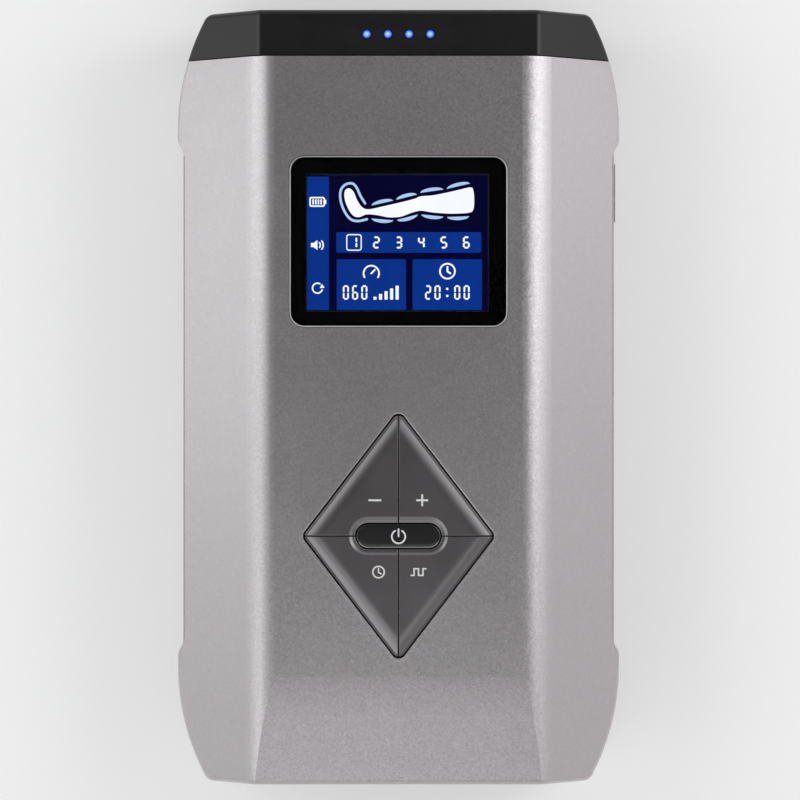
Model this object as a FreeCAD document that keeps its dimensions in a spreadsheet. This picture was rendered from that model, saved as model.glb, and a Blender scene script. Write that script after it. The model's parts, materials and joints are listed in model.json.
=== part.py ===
"""A portable compression therapy pump, as a parametric document.

The unit lies on its back on four rubber feet.  +X runs to the user's right,
+Y towards the air outlets at the head end and +Z out of the front face.  The
origin is on the ground, under the middle of the case.
"""
import FreeCAD, Part
import math
import os
import re
import Sketcher

V = FreeCAD.Vector

# name, size in millimetres (degrees for a slope, a plain number for a share), what it is
SIZES = [
    # case
    ("case_length", 210.0, "length over both flat ends"),
    ("case_width", 121.8, "width over the bulges at both ends of the side panels"),
    ("case_depth", 60.0, "front face to back face"),
    ("foot_proud", 2.0, "how far the feet stand out of the back"),
    ("wall", 2.4, "wall of the case mouldings"),
    ("face_edge_width", 76.0, "front flat, measured to where its rolled edges would be sharp"),
    ("face_slope", 40.0, "fall of the front side slopes"),
    ("back_edge_width", 92.0, "back flat, measured to where its rolled edges would be sharp"),
    ("back_slope", 40.0, "rise of the back side slopes"),
    ("roll_radius", 12.4, "roll between a flat and its slopes"),
    ("cap_roll_radius", 2.2, "tighter roll of the head cap, outside"),
    ("barrel_inset", 31.0, "ends to where the sides start to run straight"),
    ("end_curve_radius", 60.0, "how the sides curve in towards both ends"),
    ("corner_radius", 3.2, "corners of the flat ends"),
    ("edge_round", 1.5, "rounding of the edges all round the front and the back"),
    ("fall_length", 31.0, "foot end to where the front starts to fall away"),
    ("fall_slope", 3.0, "fall of the front towards the foot end"),
    ("fall_radius", 230.0, "soft bend where the front starts to fall away"),
    ("fall_lift", 0.005, "how far the bend starts above the front, so that it meets it cleanly"),
    ("parting_drop", 14.2, "upper edge of the side to the parting line of the two shells"),
    ("seam_gap", 0.3, "shadow gap between case mouldings"),
    ("lip_thick", 1.2, "locating lip of the rear shell"),
    ("lip_rise", 2.5, "how far the lip stands into the front shell"),
    ("lip_root", 4.0, "how far the lip reaches down inside the rear shell"),
    ("lip_gap", 0.1, "running gap outside the lip and the cap's tongue"),
    # side panels
    ("recess_inset", 38.5, "ends to the straight part of the side recess"),
    ("recess_depth", 1.6, "how far the side panels lie inside the bulges"),
    ("recess_blend", 5.0, "length of the blend at each end of the recess"),
    ("panel_thick", 1.4, "side panel"),
    ("panel_gap", 0.15, "gap round a side panel"),
    ("panel_rise", 0.3, "front edge of a side panel above the foot of the slope"),
    # head cap
    ("cap_length", 12.6, "length of the dark cap at the head end"),
    ("tongue_thick", 1.4, "tongue of the cap inside the shells"),
    ("tongue_length", 4.0, "reach of the tongue into the shells"),
    # display
    ("lens_width", 59.0, "display glass across"),
    ("lens_height", 46.3, "display glass along"),
    ("lens_thick", 1.4, "display glass"),
    ("lens_corner", 4.0, "corner radius of the glass"),
    ("lens_gap", 0.15, "gap around the glass"),
    ("lens_inset", 62.8, "head end to the middle of the glass"),
    ("lens_ledge", 2.1, "ledge that the glass is bonded to"),
    ("gasket_thick", 0.5, "foam between the ledge and the screen module"),
    ("screen_width", 60.3, "screen module across"),
    ("screen_height", 42.7, "screen module along"),
    ("screen_thick", 2.6, "screen module"),
    ("screen_border", 4.6, "border of the screen module under the foam, at its sides"),
    ("screen_border_end", 2.3, "border of the screen module under the foam, at its ends"),
    ("holder_wall", 2.4, "frame that carries the screen module"),
    ("holder_rim", 0.8, "how far that frame reaches past the module"),
    # keys
    ("keys_apart", 79.7, "middle of the glass to the middle of the key diamond"),
    ("key_half_width", 26.3, "half width of the key opening, to its sharp tips"),
    ("key_half_height", 34.4, "half height of the key opening, to its sharp tips"),
    ("key_tip_radius", 2.2, "rounding of the tips"),
    ("key_gap", 0.3, "gap between the keys and the case"),
    ("key_split", 0.4, "gap between neighbouring keys"),
    ("key_proud", 0.9, "how far the keys stand out of the face"),
    ("key_edge_break", 0.5, "chamfer along the outer edges of a key"),
    ("key_lip", 1.4, "how far a key's lip reaches under the face"),
    ("key_lip_thick", 1.2, "thickness of that lip"),
    ("key_travel", 0.7, "press of a key"),
    ("key_post_radius", 2.0, "post under a key"),
    ("key_post_across", 11.0, "post from the middle of the diamond, across"),
    ("key_post_along", 12.0, "post from the middle of the diamond, along"),
    ("power_width", 23.3, "power key's bright rim across"),
    ("power_height", 7.0, "power key's bright rim along"),
    ("power_rim", 0.5, "wall of the bright rim"),
    ("power_rim_proud", 0.45, "how far the rim stands out of the face"),
    ("power_proud", 0.25, "how far the power key stands out of the face"),
    ("power_gap", 0.2, "gap between the power key and its rim"),
    ("power_key_thick", 3.0, "cap of the power key"),
    ("rim_foot", 1.0, "how far the foot of the rim spreads on the board"),
    ("rim_foot_thick", 1.4, "thickness of that foot"),
    ("switch_width", 6.0, "key switch body"),
    ("switch_height", 3.6, "key switch body above the board"),
    ("switch_button_radius", 1.6, "button of a key switch"),
    ("switch_button_rise", 0.8, "button of a key switch above its body"),
    ("press_gap", 0.1, "what is left between a pressed key and its switch"),
    # main board
    ("board_depth", 8.0, "inside of the front wall to the main board"),
    ("board_thick", 1.6, "main board"),
    ("board_width", 68.0, "main board across"),
    ("board_margin", 4.0, "board past the screen and key openings at each end"),
    ("board_screw_inset", 3.0, "screw hole from the board's edges"),
    ("board_screw_radius", 1.0, "shank of a board screw"),
    ("board_screw_length", 5.0, "shank of a board screw"),
    ("board_screw_head_radius", 1.9, "head of a board screw"),
    ("board_screw_head", 1.4, "head of a board screw"),
    ("board_post_radius", 2.2, "post that carries the board"),
    ("screw_gap", 0.15, "gap around the shank of a screw"),
    ("thread_gap", 0.05, "what a screw's shank leaves in its post"),
    ("component_height", 3.0, "tallest component under the board"),
    ("chip_width", 12.0, "controller chip"),
    ("driver_width", 6.0, "driver chip across"),
    ("driver_length", 9.0, "driver chip along"),
    ("coil_width", 9.0, "coil and battery connector"),
    ("buzzer_radius", 6.0, "buzzer"),
    ("buzzer_height", 6.5, "buzzer"),
    # indicators in the cap
    ("indicator_pitch", 5.73, "spacing of the four indicators"),
    ("indicator_radius", 1.1, "light pipe"),
    ("indicator_inset", 6.7, "indicator row from the head end"),
    ("indicator_proud", 0.2, "how far the light pipes stand out"),
    ("indicator_lamp", 1.0, "height of a lamp"),
    ("lamp_gap", 0.3, "gap between a lamp and its light pipe"),
    ("indicator_board_thick", 1.2, "board behind the indicators"),
    ("indicator_board_depth", 5.0, "cap's inner face to that board"),
    ("indicator_board_width", 28.0, "board behind the indicators across"),
    ("indicator_board_length", 5.0, "board behind the indicators along"),
    ("indicator_post_radius", 1.5, "post that carries the indicator board"),
    # air outlets
    ("outlet_height", 24.0, "ground to the middle of the air outlets"),
    ("outlet_across", 24.0, "middle of an outlet socket from the middle of the case"),
    ("socket_width", 38.0, "outlet socket across"),
    ("socket_height", 15.0, "outlet socket along the depth of the case"),
    ("socket_depth", 14.0, "outlet socket"),
    ("socket_wall", 2.0, "wall of the outlet socket"),
    ("socket_floor", 3.0, "floor of the outlet socket"),
    ("socket_set_back", 0.4, "mouth of a socket behind the end of the cap"),
    ("socket_fit", 0.2, "gap between a socket and the cap"),
    ("socket_flange", 2.5, "flange behind the cap's end wall"),
    ("socket_flange_thick", 1.8, "flange behind the cap's end wall"),
    ("spigot_radius", 2.0, "outlet spigot"),
    ("spigot_length", 9.0, "outlet spigot"),
    ("spigot_bore", 1.0, "radius of the air way"),
    ("spigot_pitch", 9.0, "spacing of the spigots in a socket"),
    # air path inside
    ("barb_radius", 1.6, "hose barb"),
    ("barb_length", 6.0, "hose barb of the pump's hose"),
    ("hose_fit", 0.05, "gap between a barb and its hose"),
    ("hose_wall", 1.1, "wall of a hose"),
    ("hose_share", 0.46, "part of the free length that the outlet hoses take"),
    ("barb_share", 0.4, "part of a short hose that each of its barbs fills"),
    ("hose_end_gap", 0.5, "hose end from the face behind its barb"),
    ("manifold_width", 84.0, "air manifold across"),
    ("manifold_depth", 14.0, "air manifold along"),
    ("manifold_height", 18.0, "air manifold"),
    ("manifold_post_radius", 3.5, "post under the manifold"),
    ("tower_width", 10.0, "inlet tower on the manifold"),
    ("sensor_across", 24.0, "pressure sensor from the middle of the case"),
    ("sensor_width", 10.0, "pressure sensor"),
    ("sensor_height", 5.0, "pressure sensor below the board"),
    ("valve_width", 14.0, "solenoid valve"),
    ("valve_length", 20.0, "solenoid valve"),
    ("valve_inner_across", 12.0, "inner valves from the middle of the case"),
    ("valve_pitch", 16.0, "inner valve to outer valve"),
    ("plunger_radius", 2.5, "valve plunger"),
    ("plunger_length", 13.0, "valve plunger"),
    ("plunger_fit", 0.08, "gap around a plunger"),
    ("plunger_travel", 0.8, "stroke of a plunger"),
    ("plunger_proud", 1.0, "plunger out of its valve when released"),
    # pump
    ("pump_gap", 3.0, "pump head to the valves"),
    ("motor_radius", 12.2, "pump motor"),
    ("motor_length", 31.0, "pump motor"),
    ("motor_wall", 1.2, "can of the motor"),
    ("motor_end", 3.0, "end plates of the motor"),
    ("rotor_gap", 1.6, "rotor to the can"),
    ("shaft_radius", 1.2, "motor shaft"),
    ("shaft_fit", 0.05, "gap around the motor shaft"),
    ("shaft_reach", 9.0, "motor shaft past the motor"),
    ("cam_radius", 3.0, "eccentric"),
    ("cam_offset", 0.8, "throw of the eccentric"),
    ("cam_thick", 4.0, "eccentric"),
    ("yoke_play", 0.1, "gap left around the eccentric at the end of a stroke"),
    ("yoke_wall", 2.0, "ring of the yoke"),
    ("yoke_stem", 4.0, "stem of the yoke"),
    ("yoke_pad_radius", 6.5, "pad of the yoke under the diaphragm"),
    ("yoke_pad_thick", 1.5, "pad of the yoke under the diaphragm"),
    ("head_width", 28.0, "pump head across"),
    ("head_length", 16.0, "pump head along"),
    ("head_height", 22.0, "lower half of the pump head"),
    ("head_wall", 2.0, "wall of the pump head"),
    ("diaphragm_thick", 1.0, "rubber diaphragm"),
    ("cover_height", 7.0, "valve cover on the pump head"),
    ("bracket_thick", 1.5, "plate under the pump"),
    ("bracket_width", 34.0, "plate under the pump"),
    ("cradle_rise", 7.0, "cradles that hold the motor"),
    ("cradle_length", 5.0, "cradles that hold the motor"),
    ("cradle_fit", 0.1, "gap between a cradle and the motor"),
    ("motor_lift", 0.5, "motor above the plate"),
    ("isolator_radius", 3.5, "rubber mount under the pump"),
    ("isolator_height", 4.0, "rubber mount under the pump"),
    ("isolator_inset", 4.5, "rubber mount from the plate's edges"),
    # battery
    ("cell_radius", 9.1, "battery cell"),
    ("cell_length", 65.0, "battery cell"),
    ("cell_gap", 0.3, "gap around a cell"),
    ("cell_button_radius", 3.0, "raised contact of a cell"),
    ("cell_button", 0.6, "raised contact of a cell"),
    ("tray_wall", 1.5, "battery tray"),
    ("tray_rise", 13.0, "battery tray"),
    ("tray_set_back", 4.5, "battery tray from the foot end's inner wall"),
    ("guard_board_width", 24.0, "battery protection board"),
    ("guard_board_length", 30.0, "battery protection board"),
    ("guard_board_thick", 1.2, "battery protection board"),
    # air inlet
    ("filter_width", 18.0, "inlet filter across"),
    ("filter_length", 24.0, "inlet filter along"),
    ("filter_thick", 3.0, "inlet filter"),
    ("filter_across", 28.0, "inlet filter from the middle of the case"),
    ("grille_slot", 2.0, "width of an inlet slot"),
    ("grille_pitch", 4.4, "spacing of the inlet slots"),
    ("grille_length", 14.0, "length of an inlet slot"),
    # charging port
    ("port_drop", 6.8, "upper edge of the side to the middle of the charging socket"),
    ("port_inset", 48.5, "head end to the middle of the charging socket"),
    ("port_shell_width", 9.0, "metal shell of the charging socket"),
    ("port_shell_height", 3.3, "metal shell of the charging socket"),
    ("port_shell_depth", 7.4, "metal shell of the charging socket"),
    ("port_shell_wall", 0.35, "metal shell of the charging socket"),
    ("port_tongue_width", 6.6, "contact tongue of the charging socket"),
    ("port_tongue_thick", 0.7, "contact tongue of the charging socket"),
    ("port_way", 1.2, "room for a plug's grip around the socket"),
    ("port_board_thick", 1.2, "charging board"),
    ("port_board_width", 16.0, "charging board along"),
    ("port_board_depth", 10.0, "charging board across"),
    ("port_post_radius", 2.0, "post under the charging board"),
    ("flap_length", 16.0, "charging flap along"),
    ("flap_height", 8.6, "charging flap up to its free edge"),
    ("flap_proud", 0.6, "charging flap out of the side panel"),
    ("flap_gap", 0.2, "gap around the charging flap"),
    ("flap_root", 1.4, "thin root of the flap at its hinge"),
    ("hinge_radius", 0.4, "hinge pin of the flap"),
    ("hinge_fit", 0.06, "gap around the hinge pin"),
    ("hinge_wall", 0.25, "barrel around the hinge pin"),
    ("hinge_hold", 1.2, "reach of the pin into the panel"),
    # fasteners and feet
    ("boss_radius", 4.0, "screw boss of the shells"),
    ("boss_gap", 2.0, "screw boss from the main board"),
    ("boss_head_inset", 79.0, "head end to the first bosses"),
    ("boss_foot_inset", 38.0, "foot end to the other bosses"),
    ("case_screw_radius", 1.45, "shank of a case screw"),
    ("case_screw_length", 24.0, "shank of a case screw"),
    ("case_screw_head_radius", 2.8, "head of a case screw"),
    ("case_screw_head", 2.0, "head of a case screw"),
    ("case_screw_sink", 6.0, "back face to the top of a screw head"),
    ("sink_gap", 0.4, "gap around a sunk screw head"),
    ("drive_slot", 0.7, "width of the cross slot in a screw head"),
    ("drive_arm", 3.4, "length of the cross slot in a screw head"),
    ("foot_radius", 6.0, "rubber foot"),
    ("foot_sink", 1.0, "how far a foot sits in the back"),
    ("foot_gap", 0.15, "gap around a sunk foot"),
    ("foot_edge", 0.5, "chamfer of a foot"),
    ("foot_across", 31.0, "feet from the middle of the case, across"),
    ("foot_inset", 20.5, "feet from the ends of the case"),
]

# places worked out from the sizes
PLACES = {
    "half_length": "case_length / 2",
    "half_width": "case_width / 2",
    "face_z": "foot_proud + case_depth",
    "back_z": "foot_proud",
    "inner_face_z": "face_z - wall",
    "floor_z": "foot_proud + wall",
    "above_z": "face_z + case_depth",
    "band_high_z": "face_z - (half_width - face_edge_width / 2) * tan(face_slope)",
    "parting_height": "band_high_z - parting_drop",
    "barrel_half": "half_length - barrel_inset",
    "fall_start_y": "fall_length - half_length",
    "fall_bend_y": "fall_start_y - fall_radius * sin(fall_slope)",
    "fall_bend_drop": "fall_radius * (1 - cos(fall_slope)) - fall_lift",
    "fall_end_y": "-(half_length + wall)",
    "recess_half": "half_length - recess_inset",
    "recess_x": "half_width - recess_depth",
    "blend_radius": "(recess_blend ^ 2 + recess_depth ^ 2) / (4 * recess_depth)",
    "cap_seam_y": "half_length - cap_length",
    "cap_wall": "wall + lip_gap + tongue_thick",
    "cap_inner_face_z": "face_z - cap_wall",
    "tongue_end_y": "cap_seam_y - tongue_length",
    "lens_middle": "half_length - lens_inset",
    "ledge_z": "face_z - lens_thick",
    "screen_top_z": "inner_face_z - gasket_thick",
    "screen_low_z": "screen_top_z - screen_thick",
    "keys_y": "lens_middle - keys_apart",
    "key_side": "sqrt(key_half_width ^ 2 + key_half_height ^ 2)",
    "key_tip_y": "key_half_height - key_tip_radius * key_side / key_half_width",
    "key_tip_x": "key_half_width - key_tip_radius * key_side / key_half_height",
    "key_top_z": "face_z + key_proud",
    "key_lip_low_z": "inner_face_z - key_lip_thick",
    "switch_top_z": "board_top_z + switch_height + switch_button_rise",
    "key_post_low_z": "switch_top_z + press_gap + key_travel",
    "board_top_z": "inner_face_z - board_depth",
    "board_low_z": "board_top_z - board_thick",
    "board_half": "board_width / 2",
    "board_head_y": "lens_middle + lens_height / 2 + board_margin + board_screw_inset",
    "board_foot_y": "keys_y - key_half_height",
    "board_screw_x": "board_half - board_screw_inset",
    "board_screw_head_y": "board_head_y - board_screw_inset",
    "board_screw_foot_y": "board_foot_y + board_screw_inset",
    "indicator_y": "half_length - indicator_inset",
    "indicator_board_top_z": "cap_inner_face_z - indicator_board_depth",
    "mouth_y": "half_length - socket_set_back",
    "socket_floor_y": "mouth_y - socket_depth",
    "socket_back_y": "socket_floor_y - socket_floor",
    "hose_radius": "barb_radius + hose_fit + hose_wall",
    "free_length": "socket_back_y - manifold_depth - valve_length - pump_gap - head_length"
                   " - motor_length - tray_high_y",
    "hose_run": "free_length * hose_share",
    "outlet_barb": "hose_run * barb_share",
    "manifold_high_y": "socket_back_y - hose_run",
    "manifold_low_y": "manifold_high_y - manifold_depth",
    "manifold_middle_y": "manifold_high_y - manifold_depth / 2",
    "manifold_low_z": "outlet_height - manifold_height / 2",
    "manifold_high_z": "outlet_height + manifold_height / 2",
    "sensor_low_z": "board_low_z - sensor_height",
    "sensor_barb": "(sensor_low_z - manifold_high_z) * barb_share",
    "valve_low_y": "manifold_low_y - valve_length",
    "valve_low_z": "outlet_height - valve_width / 2",
    "valve_high_z": "outlet_height + valve_width / 2",
    "head_high_y": "valve_low_y - pump_gap",
    "head_low_y": "head_high_y - head_length",
    "motor_low_y": "head_low_y - motor_length",
    "bracket_low_z": "floor_z + isolator_height",
    "bracket_high_z": "bracket_low_z + bracket_thick",
    "motor_z": "bracket_high_z + motor_lift + motor_radius",
    "head_top_z": "bracket_high_z + head_height",
    "cover_low_z": "head_top_z + diaphragm_thick",
    "cover_high_z": "cover_low_z + cover_height",
    "nozzle_z": "cover_low_z + cover_height / 2",
    "cam_low_y": "head_low_y + (head_length - cam_thick) / 2",
    "cam_high_y": "cam_low_y + cam_thick",
    "yoke_hole": "cam_radius + 2 * cam_offset + yoke_play",
    "yoke_ring": "yoke_hole + yoke_wall",
    "yoke_top_z": "head_top_z - cam_offset - yoke_play",
    "tray_low_y": "tray_set_back + wall - half_length",
    "tray_high_y": "tray_low_y + cell_length + cell_button + 2 * (tray_wall + cell_gap)",
    "tray_half": "tray_wall + 2 * cell_radius + 1.5 * cell_gap",
    "cell_low_y": "tray_low_y + tray_wall + cell_gap",
    "cell_z": "floor_z + tray_wall + cell_gap + cell_radius",
    "guard_board_low_z": "cell_z + cell_radius + cell_gap",
    "boss_x": "board_half + boss_gap + boss_radius",
    "boss_head_y": "half_length - boss_head_inset",
    "boss_foot_y": "boss_foot_inset - half_length",
    "screw_head_top_z": "back_z + case_screw_sink",
    "screw_seat_z": "screw_head_top_z + case_screw_head",
    "panel_x": "recess_x - panel_thick",
    "panel_top_z": "face_z - (recess_x - face_edge_width / 2) * tan(face_slope) + panel_rise",
    "port_height": "band_high_z - port_drop",
    "port_along": "half_length - port_inset",
    "port_board_top_z": "port_height - port_shell_height / 2",
    "port_face_x": "recess_x - wall - flap_gap",
    "hinge_x": "recess_x - hinge_radius - hinge_wall",
    "hinge_barrel": "hinge_radius + hinge_fit + hinge_wall",
    "hinge_z": "port_height - flap_height / 2",
    "window_low_z": "hinge_z - hinge_barrel - flap_gap",
    "window_high_z": "hinge_z + flap_height + flap_gap",
    "window_half": "flap_length / 2 + flap_gap",
    "feet_y": "half_length - foot_inset",
}

ALIASES = {name for name, size, note in SIZES}
PLACEMENT = {"x": ".Placement.Base.x", "y": ".Placement.Base.y", "z": ".Placement.Base.z"}
ORIGIN_POINT = (-1, 1)
GRILLE_STEPS = (-2, -1, 0, 1, 2)
SPIGOT_STEPS = ("-1.5", "-0.5", "0.5", "1.5")
INDICATOR_STEPS = ("-1.5", "-0.5", "0.5", "1.5")
POINT_MATCH = 1e-6

# Part.Cylinder and the sketches stand along +Z until they are turned
TURNS = {
    "z": FreeCAD.Rotation(),
    "x": FreeCAD.Rotation(V(0, 1, 0), 90),
    "y": FreeCAD.Rotation(V(1, 0, 0), -90),
}

doc = FreeCAD.newDocument("compression_pump")
sheet = doc.addObject("Spreadsheet::Sheet", "Sizes")
nodes = []


# ---------------------------------------------------------------- formulas

def fill_sheet():
    """Write the driving sizes, each in a cell with its own alias."""
    for row, (name, size, note) in enumerate(SIZES, start=1):
        sheet.set("A%d" % row, name)
        sheet.set("B%d" % row, str(size))
        sheet.set("C%d" % row, note)
        sheet.setAlias("B%d" % row, name)
    doc.recompute()


def cells(formula):
    """Turn a formula in size and place names into one on the sheet's cells."""
    def expand(match):
        word = match.group(0)
        if word in PLACES:
            return "(" + cells(PLACES[word]) + ")"
        if word in ALIASES:
            return "Sizes." + word
        return word
    return re.sub(r"[a-z][a-z_]*", expand, formula)


def value(formula):
    """The present value of a formula."""
    return float(sheet.evalExpression(cells(formula)))


def bind(thing, **formulas):
    """Bind properties of an object to formulas; x, y and z bind its place."""
    for name, formula in formulas.items():
        thing.setExpression(PLACEMENT.get(name, name), cells(formula))
    return thing


def node(thing, name):
    """Name an object as one piece of the pump."""
    thing.Label = name
    nodes.append(thing)
    return thing


# ---------------------------------------------------------------- solids

def block(x, y, z):
    """A box over three spans, each a pair of formulas."""
    solid = doc.addObject("Part::Box", "block")
    return bind(solid, x=x[0], y=y[0], z=z[0],
                Length="(%s) - (%s)" % (x[1], x[0]),
                Width="(%s) - (%s)" % (y[1], y[0]),
                Height="(%s) - (%s)" % (z[1], z[0]))


def rod(axis, radius, span, x="0", y="0", z="0"):
    """A cylinder along one axis, over a span on that axis."""
    solid = doc.addObject("Part::Cylinder", "rod")
    solid.Placement = FreeCAD.Placement(V(), TURNS[axis])
    place = {"x": x, "y": y, "z": z}
    place[axis] = span[0]
    return bind(solid, Radius=radius, Height="(%s) - (%s)" % (span[1], span[0]), **place)


def fuse(*solids):
    """Join solids into one."""
    joined = doc.addObject("Part::MultiFuse", "fuse")
    joined.Shapes = list(solids)
    joined.Refine = True
    return joined


def cut(base, *tools):
    """Take tools away from a solid."""
    result = doc.addObject("Part::Cut", "cut")
    result.Base = base
    result.Tool = tools[0] if len(tools) == 1 else fuse(*tools)
    return result


def common(first, second):
    """What two solids share."""
    result = doc.addObject("Part::Common", "common")
    result.Base = first
    result.Tool = second
    return result


def group(*solids):
    """Separate solids that are kept together as one piece."""
    result = doc.addObject("Part::Compound", "group")
    result.Links = list(solids)
    return result


def tube(axis, radius, bore, span, **place):
    """A straight tube."""
    return cut(rod(axis, radius, span, **place), rod(axis, bore, span, **place))


def stadium(half_width, half_height, z, y):
    """A slot-shaped plate with round ends, across the case."""
    straight = "(%s) - (%s)" % (half_width, half_height)
    middle = block(("-(%s)" % straight, straight),
                   ("%s - (%s)" % (y, half_height), "%s + (%s)" % (y, half_height)), z)
    right = rod("z", half_height, z, x=straight, y=y)
    left = rod("z", half_height, z, x="-(%s)" % straight, y=y)
    return fuse(middle, right, left)


# ---------------------------------------------------------------- sketches

def draw(sketch, corners):
    """Draw a closed outline of straight lines and arcs through bound corners.

    A corner is (x, y) or (x, y, radius), where radius is that of the arc that
    arrives at it.  A radius that starts with a minus sign bends the other way.
    """
    places = [V(value(corner[0]), value(corner[1]), 0) for corner in corners]
    count = len(corners)
    for index in range(count):
        arrival = corners[(index + 1) % count]
        start, end = places[index], places[(index + 1) % count]
        if len(arrival) == 2:
            sketch.addGeometry(Part.LineSegment(start, end), False)
            continue
        radius = value(arrival[2].lstrip("-"))
        chord = end - start
        outward = V(chord.y, -chord.x, 0).normalize()
        if arrival[2].startswith("-"):
            outward = outward.negative()
        sagitta = radius - math.sqrt(max(radius ** 2 - (chord.Length / 2) ** 2, 0))
        middle = (start + end) * 0.5 + outward * sagitta
        sketch.addGeometry(Part.Arc(start, middle, end), False)
    for index in range(count):
        pin_corner(sketch, corners[index], places[index], (index - 1) % count, index)
        if len(corners[index]) == 3:
            radius = value(corners[index][2].lstrip("-"))
            rule = Sketcher.Constraint("Radius", (index - 1) % count, radius)
            add_rule(sketch, rule, corners[index][2].lstrip("-"))


def pin_corner(sketch, corner, place, before, after):
    """Join two neighbouring lines at a corner and bind its place."""
    end = end_at(sketch, before, place)
    start = end_at(sketch, after, place)
    sketch.addConstraint(Sketcher.Constraint("Coincident", before, end, after, start))
    across = Sketcher.Constraint("DistanceX", *ORIGIN_POINT, after, start, place.x)
    along = Sketcher.Constraint("DistanceY", *ORIGIN_POINT, after, start, place.y)
    add_rule(sketch, across, corner[0])
    add_rule(sketch, along, corner[1])


def end_at(sketch, line, place):
    """Which end of a line lies at a place."""
    return 1 if (sketch.getPoint(line, 1) - place).Length < POINT_MATCH else 2


def add_rule(sketch, rule, formula):
    """Add a constraint and bind its value."""
    index = sketch.addConstraint(rule)
    sketch.setExpression("Constraints[%d]" % index, cells(formula))


def mirror(corners, flip_x):
    """Add the mirror image of an open run of corners, to close the outline."""
    image = []
    for index in range(len(corners) - 1, -1, -1):
        x, y = corners[index][:2]
        place = ("-(%s)" % x, y) if flip_x else (x, "-(%s)" % y)
        leaving = corners[index + 1][2:] if index + 1 < len(corners) else ()
        image.append(place + tuple(leaving))
    return corners + image if flip_x else image + corners


def prism(corners, axis, span):
    """A straight prism of an outline, along X, Y or Z."""
    sketch = doc.addObject("Sketcher::SketchObject", "outline")
    if axis == "x":
        sketch.Placement = FreeCAD.Placement(V(), FreeCAD.Rotation(V(1, 1, 1), 120))
    if axis == "y":
        sketch.Placement = FreeCAD.Placement(V(), FreeCAD.Rotation(V(1, 0, 0), 90))
    draw(sketch, corners)
    solid = doc.addObject("Part::Extrusion", "prism")
    solid.Base = sketch
    solid.DirMode = "Normal"
    solid.Solid = True
    solid.Reversed = axis == "y"
    bind(sketch, **{axis: span[0]})
    return bind(solid, LengthFwd="(%s) - (%s)" % (span[1], span[0]))


def new_body(name):
    """An empty body for a piece that is built feature by feature."""
    body = doc.addObject("PartDesign::Body", name)
    return body


def sketch_on(body, plane, height):
    """A sketch on one of the body's own planes, raised by a formula."""
    sketch = body.newObject("Sketcher::SketchObject", "outline")
    wanted = [item for item in body.Origin.OriginFeatures if item.Role == plane]
    sketch.AttachmentSupport = [(wanted[0], "")]
    sketch.MapMode = "FlatFace"
    sketch.setExpression(".AttachmentOffset.Base.z", cells(height))
    return sketch


def pad(body, corners, z):
    """Raise an outline over a span along Z."""
    sketch = sketch_on(body, "XY_Plane", z[0])
    draw(sketch, corners)
    return raise_sketch(body, sketch, z)


def pad_round(body, radius, z, x, y):
    """Raise a circle over a span along Z."""
    sketch = sketch_on(body, "XY_Plane", z[0])
    draw_circle(sketch, radius, x, y)
    return raise_sketch(body, sketch, z)


def raise_sketch(body, sketch, z):
    """Pad a sketch over a span along Z."""
    feature = body.newObject("PartDesign::Pad", "pad")
    feature.Profile = sketch
    return bind(feature, Length="(%s) - (%s)" % (z[1], z[0]))


def draw_circle(sketch, radius, x, y):
    """Draw a bound circle."""
    middle = V(value(x), value(y), 0)
    sketch.addGeometry(Part.Circle(middle, V(0, 0, 1), value(radius)), False)
    add_rule(sketch, Sketcher.Constraint("Radius", 0, value(radius)), radius)
    add_rule(sketch, Sketcher.Constraint("DistanceX", *ORIGIN_POINT, 0, 3, middle.x), x)
    add_rule(sketch, Sketcher.Constraint("DistanceY", *ORIGIN_POINT, 0, 3, middle.y), y)


def pocket(body, sketch, depth):
    """Sink a sketch into the body, below the sketch's plane."""
    feature = body.newObject("PartDesign::Pocket", "pocket")
    feature.Profile = sketch
    return bind(feature, Length=depth)


def sink(body, corners, z):
    """Sink an outline over a span along Z."""
    sketch = sketch_on(body, "XY_Plane", z[1])
    draw(sketch, corners)
    return pocket(body, sketch, "(%s) - (%s)" % (z[1], z[0]))


def sink_round(body, radius, z, x, y):
    """Sink a round hole over a span along Z."""
    sketch = sketch_on(body, "XY_Plane", z[1])
    draw_circle(sketch, radius, x, y)
    return pocket(body, sketch, "(%s) - (%s)" % (z[1], z[0]))


def dress(body, kind, size, wanted):
    """Fillet or chamfer the edges that a test picks."""
    doc.recompute()
    base = body.Tip
    names = ["Edge%d" % number for number, edge in enumerate(base.Shape.Edges, start=1)
             if wanted(edge)]
    feature = body.newObject("PartDesign::" + kind, kind.lower())
    feature.Base = (base, names)
    return bind(feature, **{"Radius" if kind == "Fillet" else "Size": size})


def upright(edge):
    """Whether an edge runs along Z."""
    return abs(edge.tangentAt(edge.FirstParameter).z) > 1 - POINT_MATCH


def rectangle(x, y):
    """The corners of a rectangle over two spans."""
    return [(x[0], y[0]), (x[1], y[0]), (x[1], y[1]), (x[0], y[1])]


def about(middle, width):
    """A span of a width about a middle."""
    return ("%s - (%s) / 2" % (middle, width), "%s + (%s) / 2" % (middle, width))


def rounded_plate(x, y, z, corner):
    """A plate with rounded corners, as a body."""
    body = new_body("plate")
    pad(body, rectangle(x, y), z)
    dress(body, "Fillet", corner, upright)
    return body


# ---------------------------------------------------------------- case shape

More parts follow.
